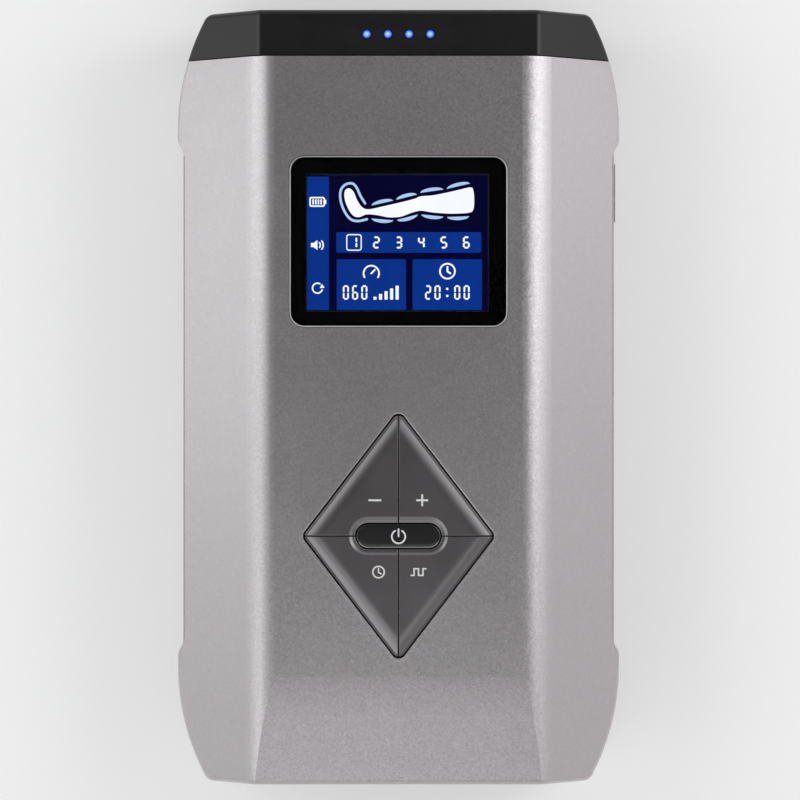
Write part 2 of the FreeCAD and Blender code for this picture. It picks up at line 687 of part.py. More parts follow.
def section_quarter(edge_width, slope, level, direction, inset, roll):
    """Right-hand run of the case section from its side to one flat."""
    edge = "(%s / 2 - (%s) * tan(%s / 2))" % (edge_width, inset, slope)
    reach = "((%s - (%s)) * tan(%s / 2))" % (roll, inset, slope)
    side = "(half_width - (%s))" % inset
    flat = "(%s - %s (%s))" % (level, direction, inset)
    return [
        (side, "%s - %s (%s - %s) * tan(%s)" % (flat, direction, side, edge, slope)),
        ("%s + %s * cos(%s)" % (edge, reach, slope),
         "%s - %s %s * sin(%s)" % (flat, direction, reach, slope)),
        ("%s - %s" % (edge, reach), flat, "%s - (%s)" % (roll, inset)),
    ]


def section_corners(inset, roll="roll_radius"):
    """The case section across X and Z: two flats with rolled edges and slopes."""
    front = section_quarter("face_edge_width", "face_slope", "face_z", "1 *", inset, roll)
    back = section_quarter("back_edge_width", "back_slope", "back_z", "-1 *", inset, roll)
    side, roll_end, flat_end = back
    upwards = [flat_end[:2], roll_end[:2] + flat_end[2:], side]
    return mirror(upwards + front, flip_x=True)


def end_corners(inset):
    """The curved run from the barrel to a flat end, in plan."""
    side = "(half_width - (%s))" % inset
    sweep = "(end_curve_radius - (%s))" % inset
    centre = "(half_width - end_curve_radius)"
    end = "(half_length - (%s))" % inset
    round_y = "(%s - corner_radius)" % end
    round_x = "(%s + sqrt((%s - corner_radius) ^ 2 - (%s - barrel_half) ^ 2))" % (
        centre, sweep, round_y)
    share = "%s / (%s - corner_radius)" % (sweep, sweep)
    return [
        (side, "barrel_half"),
        ("%s + (%s - %s) * %s" % (centre, round_x, centre, share),
         "barrel_half + (%s - barrel_half) * %s" % (round_y, share), sweep),
        (round_x, end, "corner_radius"),
    ]


def recess_corners(side):
    """One end of a side recess, in plan, from its floor to the bulge."""
    return [
        ("%s - recess_depth" % side, "recess_half"),
        ("%s - recess_depth / 2" % side, "recess_half + recess_blend / 2", "-blend_radius"),
        (side, "recess_half + recess_blend", "blend_radius"),
    ]


def plan_corners(inset):
    """The case seen from the front: barrel sides, recesses and flat ends."""
    quarter = recess_corners("(half_width - (%s))" % inset) + end_corners(inset)
    return mirror(mirror(quarter, flip_x=False), flip_x=True)


def end_fall(inset):
    """The space in front of the case near its foot end, where the front falls away."""
    level = "face_z - (%s)" % inset
    corners = [
        ("fall_start_y", level + " + fall_lift"),
        ("fall_bend_y", level + " - fall_bend_drop", "fall_radius"),
        ("fall_end_y", level + " - fall_bend_drop - (fall_bend_y - fall_end_y) * tan(fall_slope)"),
        ("fall_end_y", "above_z"),
        ("fall_start_y", "above_z"),
    ]
    return prism(corners, "x", ("-case_width", "case_width"))


def envelope(inset):
    """The whole case, taken in by an inset on every side."""
    along = cut(prism(section_corners(inset), "y", ("-half_length", "half_length")),
                end_fall(inset))
    end = "half_length - (%s)" % inset
    upwards = prism(plan_corners(inset), "z", ("0", "above_z"))
    ends = block(("-case_width", "case_width"), ("-(%s)" % end, end), ("0", "above_z"))
    return common(common(along, upwards), ends)


def outer_shape(roll):
    """The outside of the case, with its rounded edges and its side recesses."""
    along = prism(section_corners("0", roll), "y", ("-half_length", "half_length"))
    plan = mirror(mirror(end_corners("0"), flip_x=False), flip_x=True)
    plain = cut(common(along, prism(plan, "z", ("0", "above_z"))), end_fall("0"))
    body = new_body("outside")
    body.BaseFeature = plain
    doc.recompute()
    whole = body.Tip.Shape
    dress(body, "Fillet", "edge_round", lambda edge: is_rim(whole, edge))
    recesses = []
    for side in (1, -1):
        run = mirror(recess_corners("half_width"), flip_x=False)
        beyond = "half_width + recess_depth"
        run += [(beyond, "recess_half + recess_blend"), (beyond, "-(recess_half + recess_blend)")]
        recesses.append(prism(turn_over(run) if side < 0 else run, "z", ("0", "above_z")))
    return cut(body, *recesses)


def turn_over(corners):
    """A closed outline seen in a mirror across X, which bends its arcs the other way."""
    turned = []
    for corner in corners:
        radius = corner[2:]
        if radius:
            radius = (radius[0][1:] if radius[0].startswith("-") else "-" + radius[0],)
        turned.append(("-(%s)" % corner[0], corner[1]) + radius)
    return turned


def is_rim(shape, edge):
    """Whether an edge lies between an upright wall and the front or the back."""
    middle = edge.valueAt((edge.FirstParameter + edge.LastParameter) / 2)
    upright_walls = 0
    for face in shape.ancestorsOfType(edge, Part.Face):
        lean = face.normalAt(*face.Surface.parameter(middle)).z
        upright_walls += abs(lean) < POINT_MATCH
    return upright_walls == 1


def slab(y=("-case_length", "case_length"), z=("0", "above_z")):
    """Everything between two levels or two stations."""
    return block(("-case_width", "case_width"), y, z)


def key_opening():
    """The rounded diamond that the keys show through."""
    tip_x = "key_tip_radius * key_half_height / key_side"
    tip_y = "key_tip_y + key_tip_radius * key_half_width / key_side"
    side_x = "key_tip_x + key_tip_radius * key_half_height / key_side"
    side_y = "key_tip_radius * key_half_width / key_side"
    radius = "key_tip_radius"
    below, above = "keys_y - (%s)", "keys_y + (%s)"
    corners = [
        (tip_x, below % tip_y, radius),
        (side_x, below % side_y),
        (side_x, above % side_y, radius),
        (tip_x, above % tip_y),
        ("-(%s)" % tip_x, above % tip_y, radius),
        ("-(%s)" % side_x, above % side_y),
        ("-(%s)" % side_x, below % side_y, radius),
        ("-(%s)" % tip_x, below % tip_y),
    ]
    return prism(corners, "z", ("key_lip_low_z", "above_z"))


def screw_places():
    """The four case screws."""
    return [(side + "boss_x", along) for side in ("-", "")
            for along in ("boss_head_y", "boss_foot_y")]


def board_screw_places():
    """The four board screws."""
    return [(side + "board_screw_x", along) for side in ("-", "")
            for along in ("board_screw_head_y", "board_screw_foot_y")]


def make_shells():
    """Front shell, rear shell and head cap, from one outer shape."""
    outer = outer_shape("roll_radius")
    within = envelope("wall / 2")
    hollow = cut(outer, envelope("wall"))
    body_end = ("-case_length", "cap_seam_y")
    front_half = common(hollow, slab(body_end, ("parting_height + seam_gap", "above_z")))
    rear_half = common(hollow, slab(body_end, ("0", "parting_height")))
    node(make_front_shell(front_half, within), "front_shell")
    node(make_rear_shell(rear_half, within), "rear_shell")
    node(make_top_cap(outer_shape("cap_roll_radius")), "top_cap")
    for side, name in (("-", "left_side_panel"), ("", "right_side_panel")):
        node(make_side_panel(outer, side), name)


def panel_pocket(side):
    """Room for a side panel in the shells."""
    edges = (side + "panel_x", side + "case_width")
    if side:
        edges = edges[::-1]
    return block(edges, ("-recess_half", "recess_half"), ("0", "panel_top_z"))


def port_window():
    """The way through the side wall to the charging socket."""
    width = "port_shell_width + 2 * port_way"
    height = "port_shell_height + 2 * port_way"
    return block(("recess_x - 2 * wall", "case_width"), about("port_along", width),
                 about("port_height", height))


def make_front_shell(half, within):
    """Front moulding with the display ledge, key opening, bosses and board posts."""
    additions = []
    bores = [key_opening(), panel_pocket("-"), panel_pocket(""), port_window()]
    for x, y in screw_places():
        additions.append(rod("z", "boss_radius", ("parting_height + seam_gap", "face_z"),
                             x=x, y=y))
        bores.append(rod("z", "case_screw_radius + thread_gap",
                         ("0", "screw_seat_z + case_screw_length + press_gap"), x=x, y=y))
    for x, y in board_screw_places():
        additions.append(rod("z", "board_post_radius", ("board_top_z", "face_z"), x=x, y=y))
        bores.append(rod("z", "board_screw_radius + thread_gap",
                         ("board_top_z", "board_low_z + board_screw_length + press_gap"),
                         x=x, y=y))
    glass_x = about("0", "lens_width + 2 * lens_gap")
    glass_y = about("lens_middle", "lens_height + 2 * lens_gap")
    bores.append(rounded_plate(glass_x, glass_y, ("ledge_z", "above_z"), "lens_corner + lens_gap"))
    view_x = about("0", "lens_width - 2 * lens_ledge")
    view_y = about("lens_middle", "lens_height - 2 * lens_ledge")
    bores.append(block(view_x, view_y, ("inner_face_z - wall", "above_z")))
    return cut(fuse(half, common(fuse(*additions), within)), *bores)


def make_rear_shell(half, within):
    """Back moulding with its lip, bosses, posts, inlet slots and foot pockets."""
    lip_end = "tongue_end_y - seam_gap"
    outside = prism(plan_corners("wall + lip_gap"), "z",
                    ("parting_height - lip_root", "parting_height + lip_rise"))
    root = prism(plan_corners("wall / 2"), "z", ("parting_height - lip_root", "parting_height"))
    inside = prism(plan_corners("wall + lip_gap + lip_thick"), "z", ("0", "above_z"))
    lip = common(cut(fuse(outside, root), inside), slab(("-case_length", lip_end)))
    additions = []
    bores = [panel_pocket("-"), panel_pocket(""), port_window()]
    for x, y in screw_places():
        additions.append(rod("z", "boss_radius", ("back_z", "parting_height"), x=x, y=y))
        bores.append(rod("z", "case_screw_radius + screw_gap", ("0", "above_z"), x=x, y=y))
        bores.append(rod("z", "case_screw_head_radius + sink_gap", ("0", "screw_seat_z"),
                         x=x, y=y))
    for side in ("-", ""):
        additions.append(rod("z", "manifold_post_radius", ("back_z", "manifold_low_z"),
                             x=side + "outlet_across", y="manifold_middle_y"))
        along = "port_along %s (port_board_width / 2 - port_post_radius)" % (side or "+")
        additions.append(rod("z", "port_post_radius",
                             ("back_z", "port_board_top_z - port_board_thick"),
                             x="port_face_x - port_board_depth / 2", y=along))
    for x, y in foot_places():
        bores.append(rod("z", "foot_radius + foot_gap", ("0", "back_z + foot_sink"), x=x, y=y))
    bores.extend(grille_slots())
    return cut(fuse(half, lip, common(fuse(*additions), within)), *bores)


def grille_slots():
    """Air inlet slots under the filter."""
    slots = []
    for step in GRILLE_STEPS:
        middle = "%d * grille_pitch" % step
        slots.append(block(about("-filter_across", "grille_length"),
                           about(middle, "grille_slot"), ("0", "floor_z + wall")))
    return slots


def foot_places():
    """The four rubber feet."""
    return [(side + "foot_across", end + "feet_y") for side in ("-", "")
            for end in ("-", "")]


def make_top_cap(outer):
    """Dark head cap with its tongue, sockets for the outlets and indicator holes."""
    inner = envelope("cap_wall")
    shell = common(cut(outer, inner), slab(("cap_seam_y + seam_gap", "case_length")))
    ring = cut(envelope("wall + lip_gap"), inner)
    tongue = common(ring, slab(("tongue_end_y", "cap_seam_y + cap_wall")))
    additions = [tongue]
    bores = []
    for side in ("-", "+"):
        post_x = "%s(indicator_board_width / 2 - indicator_post_radius)" % side
        additions.append(rod("z", "indicator_post_radius",
                             ("indicator_board_top_z", "face_z - cap_wall / 2"),
                             x=post_x.lstrip("+"), y="indicator_y"))
        middle = (side + "outlet_across").lstrip("+")
        bores.append(block(about(middle, "socket_width + 2 * (socket_wall + socket_fit)"),
                           ("cap_seam_y + cap_wall", "case_length"),
                           about("outlet_height",
                                 "socket_height + 2 * (socket_wall + socket_fit)")))
    for x in indicator_places():
        bores.append(rod("z", "indicator_radius + hose_fit",
                         ("cap_inner_face_z - wall", "above_z"), x=x, y="indicator_y"))
    return cut(fuse(shell, *additions), *bores)


def indicator_places():
    """The four indicators in a row across the cap."""
    return ["%s * indicator_pitch" % step for step in INDICATOR_STEPS]


def make_side_panel(outer, side):
    """Side panel, flush with the slopes at its two edges."""
    edges = (side + "panel_x", side + "case_width")
    if side:
        edges = edges[::-1]
    span = ("panel_gap - recess_half", "recess_half - panel_gap")
    panel = common(outer, block(edges, span, ("0", "panel_top_z - panel_gap")))
    if side:
        return panel
    window = block(("panel_x - wall", "case_width"), about("port_along", "2 * window_half"),
                   ("window_low_z", "window_high_z"))
    pin_way = rod("y", "hinge_radius + hinge_fit",
                  ("port_along - window_half - hinge_hold", "port_along + window_half + hinge_hold"),
                  x="hinge_x", z="hinge_z")
    return cut(panel, window, pin_way)


# ---------------------------------------------------------------- display

def make_display():
    """Glass, foam, screen module and the frame that carries it."""
    glass = rounded_plate(about("0", "lens_width"), about("lens_middle", "lens_height"),
                          ("ledge_z", "face_z"), "lens_corner")
    node(glass, "display_lens")
    screen_x = about("0", "screen_width")
    screen_y = about("lens_middle", "screen_height")
    view_x = about("0", "screen_width - 2 * screen_border")
    view_y = about("lens_middle", "screen_height - 2 * screen_border_end")
    foam = cut(block(screen_x, screen_y, ("screen_top_z", "inner_face_z")),
               block(view_x, view_y, ("0", "above_z")))
    node(foam, "display_gasket")
    node(block(screen_x, screen_y, ("screen_low_z", "screen_top_z")), "display_module")
    outside = block(about("0", "screen_width + 2 * holder_rim"),
                    about("lens_middle", "screen_height + 2 * holder_rim"),
                    ("board_top_z", "screen_low_z"))
    opening = block(about("0", "screen_width + 2 * holder_rim - 2 * holder_wall"),
                    about("lens_middle", "screen_height + 2 * holder_rim - 2 * holder_wall"),
                    ("0", "above_z"))
    node(cut(outside, opening), "display_holder")


# ---------------------------------------------------------------- keys

def key_corners(side_x, side_y, offset):
    """One quarter of the key diamond, let out or taken in by an offset."""
    radius = "key_tip_radius + (%s)" % offset
    split = "key_split / 2"
    over = "sqrt((%s) ^ 2 - (%s) ^ 2)" % (radius, split)
    turn = "" if side_x * side_y > 0 else "-"
    quarter = [
        (split, split),
        ("key_tip_x + %s" % over, split),
        ("key_tip_x + (%s) * key_half_height / key_side" % radius,
         "(%s) * key_half_width / key_side" % radius, turn + radius),
        ("(%s) * key_half_height / key_side" % radius,
         "key_tip_y + (%s) * key_half_width / key_side" % radius),
        (split, "key_tip_y + %s" % over, turn + radius),
    ]
    return [("%d * (%s)" % (side_x, corner[0]), "keys_y + %d * (%s)" % (side_y, corner[1]))
            + tuple(corner[2:]) for corner in quarter]


def make_key(name, side_x, side_y):
    """A quarter key: lip under the face, cap through it, post down to its switch."""
    body = new_body(name)
    pad(body, key_corners(side_x, side_y, "key_lip"), ("key_lip_low_z", "inner_face_z"))
    pad(body, key_corners(side_x, side_y, "-key_gap"), ("inner_face_z", "key_top_z"))
    pad_round(body, "key_post_radius", ("key_post_low_z", "key_lip_low_z"),
              "%d * key_post_across" % side_x, "keys_y + %d * key_post_along" % side_y)
    straight = "power_width / 2 - power_height / 2"
    clear = "power_height / 2 + key_gap"
    sink(body, rectangle(("-(%s)" % straight, straight),
                         ("keys_y - (%s)" % clear, "keys_y + %s" % clear)),
         ("key_lip_low_z", "key_top_z"))
    sink_round(body, clear, ("key_lip_low_z", "key_top_z"),
               "%d * (%s)" % (side_x, straight), "keys_y")
    top = value("key_top_z")
    dress(body, "Chamfer", "key_edge_break", lambda edge: lies_at(edge, top))
    node(body, name)


def lies_at(edge, level):
    """Whether a whole edge lies at one level."""
    return abs(edge.BoundBox.ZMin - level) < POINT_MATCH and edge.BoundBox.ZLength < POINT_MATCH


def make_keys():
    """Four quarter keys around a power key in a bright rim, and their switches."""
    for name, side_x, side_y in (("pressure_down_key", -1, 1), ("pressure_up_key", 1, 1),
                                 ("time_key", -1, -1), ("mode_key", 1, -1)):
        make_key(name, side_x, side_y)
    rim_x, rim_y = "power_width / 2", "power_height / 2"
    inner_x, inner_y = rim_x + " - power_rim", rim_y + " - power_rim"
    sleeve = stadium(rim_x, rim_y, ("board_top_z", "face_z + power_rim_proud"), "keys_y")
    foot = stadium(rim_x + " + rim_foot", rim_y + " + rim_foot",
                   ("board_top_z", "board_top_z + rim_foot_thick"), "keys_y")
    bore = stadium(inner_x, inner_y, ("0", "above_z"), "keys_y")
    node(cut(fuse(sleeve, foot), bore), "power_rim_ring")
    cap = stadium(inner_x + " - power_gap", inner_y + " - power_gap",
                  ("face_z + power_proud - power_key_thick", "face_z + power_proud"), "keys_y")
    post = rod("z", "key_post_radius",
               ("key_post_low_z", "face_z + power_proud - power_key_thick / 2"), y="keys_y")
    node(fuse(cap, post), "power_key")
    node(make_switches(), "key_switches")


def make_switches():
    """Five key switches on the main board."""
    places = [("%d * key_post_across" % x, "keys_y + %d * key_post_along" % y)
              for x in (-1, 1) for y in (-1, 1)]
    places.append(("0", "keys_y"))
    switches = []
    for x, y in places:
        width = "power_height - 2 * power_rim - 2 * power_gap" if x == "0" else "switch_width"
        body = block(about(x, "switch_width"), about(y, width),
                     ("board_top_z", "board_top_z + switch_height"))
        button = rod("z", "switch_button_radius",
                     ("board_top_z + switch_height", "switch_top_z"), x=x, y=y)
        switches.append(fuse(body, button))
    return group(*switches)


# ---------------------------------------------------------------- boards

def make_boards():
    """Main board with what it carries."""
    body = new_body("main_board")
    pad(body, rectangle(("-board_half", "board_half"), ("board_foot_y", "board_head_y")),
        ("board_low_z", "board_top_z"))
    for x, y in board_screw_places():
        sink_round(body, "board_screw_radius + screw_gap", ("board_low_z", "board_top_z"), x, y)
    node(body, "main_board")
    screws = []
    for x, y in board_screw_places():
        head = rod("z", "board_screw_head_radius", ("board_low_z - board_screw_head", "board_low_z"),
                   x=x, y=y)
        shank = rod("z", "board_screw_radius", ("board_low_z", "board_low_z + board_screw_length"),
                    x=x, y=y)
        screws.append(fuse(head, shank))
    node(group(*screws), "board_screws")
    node(make_components(), "board_components")
    node(rod("z", "buzzer_radius", ("board_low_z - buzzer_height", "board_low_z"),
             x="-board_half / 2", y="keys_y"), "buzzer")


def make_components():
    """Controller, driver chips, coil and connectors under the main board."""
    under = ("board_low_z - component_height / 2", "board_low_z")
    deep = ("board_low_z - component_height", "board_low_z")
    between = "(keys_y + lens_middle) / 2"
    plan = [
        (about("0", "chip_width"), about("keys_y", "chip_width"), under),
        (about("board_half / 2", "driver_width"), about(between, "driver_length"), under),
        (about("-board_half / 2", "driver_width"), about(between, "driver_length"), under),
        (about("board_half / 2", "coil_width"), about("keys_y", "coil_width"), deep),
        (about("0", "chip_width"), about("lens_middle / 2", "driver_width"), deep),
        (about("-board_half / 2", "coil_width"), about("lens_middle", "driver_width"), deep),
    ]
    return group(*[block(x, y, z) for x, y, z in plan])


def make_indicators():
    """Light pipes, lamps and their board behind the cap."""
    top = "indicator_board_top_z"
    board = block(about("0", "indicator_board_width"),
                  about("indicator_y", "indicator_board_length"),
                  (top + " - indicator_board_thick", top))
    node(board, "indicator_board")
    lamps = []
    pipes = []
    for x in indicator_places():
        lamps.append(block(about(x, "2 * indicator_radius"),
                           about("indicator_y", "2 * indicator_radius"),
                           (top, top + " + indicator_lamp")))
        pipes.append(rod("z", "indicator_radius",
                         (top + " + indicator_lamp + lamp_gap", "face_z + indicator_proud"),
                         x=x, y="indicator_y"))
    node(group(*lamps), "indicator_lamps")
    node(group(*pipes), "light_pipes")


# ---------------------------------------------------------------- air path

def make_outlet_block(name, middle):
    """Outlet socket with four spigots outside and four hose barbs inside."""
    z = "outlet_height"
    tray = block(about(middle, "socket_width + 2 * socket_wall"), ("socket_back_y", "mouth_y"),
                 about(z, "socket_height + 2 * socket_wall"))
    flange = block(about(middle, "socket_width + 2 * (socket_wall + socket_flange)"),
                   ("half_length - cap_wall - socket_flange_thick", "half_length - cap_wall"),
                   about(z, "socket_height + 2 * (socket_wall + socket_flange)"))
    hollow = block(about(middle, "socket_width"), ("socket_floor_y", "half_length"),
                   about(z, "socket_height"))
    base = cut(fuse(tray, flange), hollow)
    ways = []
    stems = []
    for step in SPIGOT_STEPS:
        x = "%s + %s * spigot_pitch" % (middle, step)
        stems.append(rod("y", "spigot_radius",
                         ("socket_floor_y - socket_floor / 2", "socket_floor_y + spigot_length"),
                         x=x, z=z))
        stems.append(rod("y", "barb_radius",
                         ("socket_back_y - outlet_barb", "socket_back_y + socket_floor / 2"),
                         x=x, z=z))
        ways.append(rod("y", "spigot_bore", ("0", "case_length"), x=x, z=z))
    node(cut(fuse(base, *stems), *ways), name)


def make_air_path():
    """Outlets, hoses, manifold, valves with their plungers, and the pressure sensor."""
    for side, name in (("-", "outlet_block_left"), ("", "outlet_block_right")):
        make_outlet_block(name, side + "outlet_across")
    hoses = []
    for side in ("-", ""):
        for step in SPIGOT_STEPS:
            x = "%soutlet_across + %s * spigot_pitch" % (side, step)
            hoses.append(tube("y", "hose_radius", "barb_radius + hose_fit",
                              ("manifold_high_y + hose_end_gap", "socket_back_y - hose_end_gap"),
                              x=x, z="outlet_height"))
    node(group(*hoses), "outlet_hoses")
    node(make_manifold(), "air_manifold")
    for number, x in enumerate(valve_places(), start=1):
        make_valve(number, x)
    inlet = tube("y", "hose_radius", "barb_radius + hose_fit",
                 ("head_high_y + hose_end_gap", "manifold_low_y - hose_end_gap"), z="nozzle_z")
    node(inlet, "pump_hose")
    body = block(about("sensor_across", "sensor_width"),
                 about("manifold_middle_y", "sensor_width"),
                 ("sensor_low_z", "board_low_z"))
    barb = rod("z", "barb_radius",
               ("sensor_low_z - sensor_barb", "board_low_z - sensor_height / 2"),
               x="sensor_across", y="manifold_middle_y")
    node(fuse(body, barb), "pressure_sensor")
    sense = tube("z", "hose_radius", "barb_radius + hose_fit",
                 ("manifold_high_z + hose_end_gap", "sensor_low_z - hose_end_gap"),
                 x="sensor_across", y="manifold_middle_y")
    node(sense, "sensor_hose")


def make_manifold():
    """Air manifold with barbs to the outlets, the pump and the sensor."""
    core = block(about("0", "manifold_width"), ("manifold_low_y", "manifold_high_y"),
                 ("manifold_low_z", "manifold_high_z"))
    tower = block(about("0", "tower_width"), ("manifold_low_y", "manifold_high_y"),
                  ("manifold_high_z - wall", "nozzle_z + hose_radius + hose_wall"))
    stems = [
        rod("y", "barb_radius", ("manifold_low_y - barb_length", "manifold_middle_y"),
            z="nozzle_z"),
        rod("z", "barb_radius", ("manifold_high_z - wall", "manifold_high_z + sensor_barb"),
            x="sensor_across", y="manifold_middle_y"),
    ]
    ways = [
        rod("y", "spigot_bore", ("manifold_low_y - case_length", "manifold_middle_y"),
            z="nozzle_z"),
        rod("z", "spigot_bore", ("outlet_height", "above_z"),
            x="sensor_across", y="manifold_middle_y"),
    ]
    for side in ("-", ""):
        for step in SPIGOT_STEPS:
            x = "%soutlet_across + %s * spigot_pitch" % (side, step)
            stems.append(rod("y", "barb_radius",
                             ("manifold_middle_y", "manifold_high_y + outlet_barb"),
                             x=x, z="outlet_height"))
            ways.append(rod("y", "spigot_bore", ("manifold_middle_y", "case_length"),
                            x=x, z="outlet_height"))
    return cut(fuse(core, tower, *stems), *ways)


def valve_places():
    """The four solenoid valves in a row across the case."""
    outer = "valve_inner_across + valve_pitch"
    return ("-(%s)" % outer, "-valve_inner_across", "valve_inner_across", outer)


def make_valve(number, x):
    """A solenoid valve and the plunger that slides in it."""
    body = block(about(x, "valve_width"), ("valve_low_y", "manifold_low_y"),
                 ("valve_low_z", "valve_high_z"))
    inside = "plunger_length - plunger_proud"
    bore = rod("y", "plunger_radius + plunger_fit",
               ("valve_low_y - plunger_proud",
                "valve_low_y + %s + plunger_travel + press_gap" % inside),
               x=x, z="outlet_height")
    node(cut(body, bore), "valve_%d" % number)
    plunger = rod("y", "plunger_radius",
                  ("valve_low_y - plunger_proud", "valve_low_y + %s" % inside),
                  x=x, z="outlet_height")
    node(plunger, "valve_plunger_%d" % number)


# ---------------------------------------------------------------- pump

def make_pump():
    """Motor, eccentric, yoke and diaphragm head on rubber mounts."""
    make_motor()
    make_pump_head()
    edge = "bracket_width / 2"
    plate = block(about("0", "bracket_width"), ("motor_low_y", "head_high_y"),
                  ("bracket_low_z", "bracket_high_z"))
    cradles = []
    for low in ("motor_low_y + motor_end", "head_low_y - motor_end - cradle_length"):
        cradles.append(block(about("0", "bracket_width"), (low, low + " + cradle_length"),
                             ("bracket_high_z - bracket_thick / 2", "bracket_high_z + cradle_rise")))
    room = rod("y", "motor_radius + cradle_fit", ("motor_low_y", "head_low_y"), z="motor_z")
    node(cut(fuse(plate, *cradles), room), "pump_bracket")
    mounts = []
    for x in ("-(%s - isolator_inset)" % edge, "%s - isolator_inset" % edge):
        for y in ("motor_low_y + isolator_inset", "head_high_y - isolator_inset"):
            mounts.append(rod("z", "isolator_radius", ("floor_z", "bracket_low_z"), x=x, y=y))
    node(group(*mounts), "pump_isolators")


def make_motor():
    """Motor can, and the rotor with its shaft and eccentric."""
    can = rod("y", "motor_radius", ("motor_low_y", "head_low_y"), z="motor_z")
    room = rod("y", "motor_radius - motor_wall",
               ("motor_low_y + motor_end", "head_low_y - motor_end"), z="motor_z")
    bore = rod("y", "shaft_radius + shaft_fit", ("motor_low_y + motor_end / 2", "head_high_y"),
               z="motor_z")
    node(cut(can, room, bore), "motor_can")
    rotor = rod("y", "motor_radius - motor_wall - rotor_gap",
                ("motor_low_y + 2 * motor_end", "head_low_y - 2 * motor_end"), z="motor_z")
    node(cut(rotor, rod("y", "shaft_radius", ("motor_low_y", "head_high_y"), z="motor_z")),
         "motor_rotor")
    shaft = rod("y", "shaft_radius", ("motor_low_y + motor_end", "head_low_y + shaft_reach"),
                z="motor_z")
    cam = rod("y", "cam_radius", ("cam_low_y", "cam_high_y"), z="motor_z + cam_offset")
    node(fuse(shaft, cam), "motor_shaft")


def make_pump_head():
    """Housing, yoke, diaphragm and valve cover of the pump."""
    x = about("0", "head_width")
    y = ("head_low_y", "head_high_y")
    room = block(about("0", "head_width - 2 * head_wall"),
                 ("head_low_y + head_wall", "head_high_y - head_wall"),
                 ("bracket_high_z + head_wall", "above_z"))
    way = rod("y", "cam_radius + cam_offset", ("motor_low_y", "head_low_y + head_length / 2"),
              z="motor_z")
    node(cut(block(x, y, ("bracket_high_z", "head_top_z")), room, way), "pump_housing")
    thick = ("cam_low_y", "cam_high_y")
    ring = rod("y", "yoke_ring", thick, z="motor_z")
    stem = block(about("0", "yoke_stem"), thick, ("motor_z + yoke_hole", "yoke_top_z"))
    foot = rod("z", "yoke_pad_radius", ("yoke_top_z - yoke_pad_thick", "yoke_top_z"),
               y="head_low_y + head_length / 2")
    pad_room = block(about("0", "head_width"), about("head_low_y + head_length / 2",
                     "head_length - 2 * (head_wall + yoke_play)"), ("0", "above_z"))
    eye = rod("y", "yoke_hole", ("head_low_y", "head_high_y"), z="motor_z")
    node(common(cut(fuse(ring, stem, foot), eye), pad_room), "pump_yoke")
    node(block(x, y, ("head_top_z", "cover_low_z")), "pump_diaphragm")
    cover = block(x, y, ("cover_low_z", "cover_high_z"))
    nozzle = rod("y", "barb_radius", ("head_high_y - head_wall", "head_high_y + barb_length"),
                 z="nozzle_z")
    chamber = rod("z", "yoke_pad_radius", ("cover_low_z", "cover_high_z - head_wall"),
                  y="head_low_y + head_length / 2")
    way_out = rod("y", "spigot_bore",
                  ("head_low_y + head_length / 2", "head_high_y + case_length"), z="nozzle_z")
    node(cut(fuse(cover, nozzle), chamber, way_out), "pump_cover")


# ---------------------------------------------------------------- battery, inlet, port

def make_battery():
    """Two cells in a tray with a protection board on top."""
    outside = block(("-tray_half", "tray_half"), ("tray_low_y", "tray_high_y"),
                    ("floor_z", "floor_z + tray_rise"))
    room = block(("tray_wall - tray_half", "tray_half - tray_wall"),
                 ("tray_low_y + tray_wall", "tray_high_y - tray_wall"),
                 ("floor_z + tray_wall", "above_z"))
    node(cut(outside, room), "battery_tray")
    cells_made = []
    for x in ("-(cell_radius + cell_gap / 2)", "cell_radius + cell_gap / 2"):
        can = rod("y", "cell_radius", ("cell_low_y", "cell_low_y + cell_length"), x=x, z="cell_z")
        button = rod("y", "cell_button_radius",
                     ("cell_low_y + cell_length - cell_gap",
                      "cell_low_y + cell_length + cell_button"), x=x, z="cell_z")
        cells_made.append(fuse(can, button))
    node(group(*cells_made), "battery_cells")
    middle = "cell_low_y + cell_length / 2"
    node(block(about("0", "guard_board_width"), about(middle, "guard_board_length"),
               ("guard_board_low_z", "guard_board_low_z + guard_board_thick")), "battery_board")


def make_inlet():
    """Foam filter over the inlet slots."""
    node(block(about("-filter_across", "filter_width"), about("0", "filter_length"),
               ("floor_z", "floor_z + filter_thick")), "inlet_filter")


def make_port():
    """Charging socket on its board, behind a hinged flap."""
    top = "port_board_top_z"
    node(block(("port_face_x - port_board_depth", "port_face_x"),
               about("port_along", "port_board_width"), (top + " - port_board_thick", top)),
         "charge_board")
    x = ("port_face_x - port_shell_depth", "port_face_x")
    shell = block(x, about("port_along", "port_shell_width"),
                  about("port_height", "port_shell_height"))
    room = block(("port_face_x - port_shell_depth + 2 * port_shell_wall", "case_width"),
                 about("port_along", "port_shell_width - 2 * port_shell_wall"),
                 about("port_height", "port_shell_height - 2 * port_shell_wall"))
    tongue = block((x[0], "port_face_x - 2 * port_shell_wall"),
                   about("port_along", "port_tongue_width"),
                   about("port_height", "port_tongue_thick"))
    node(fuse(cut(shell, room), tongue), "charge_socket")
    make_flap()


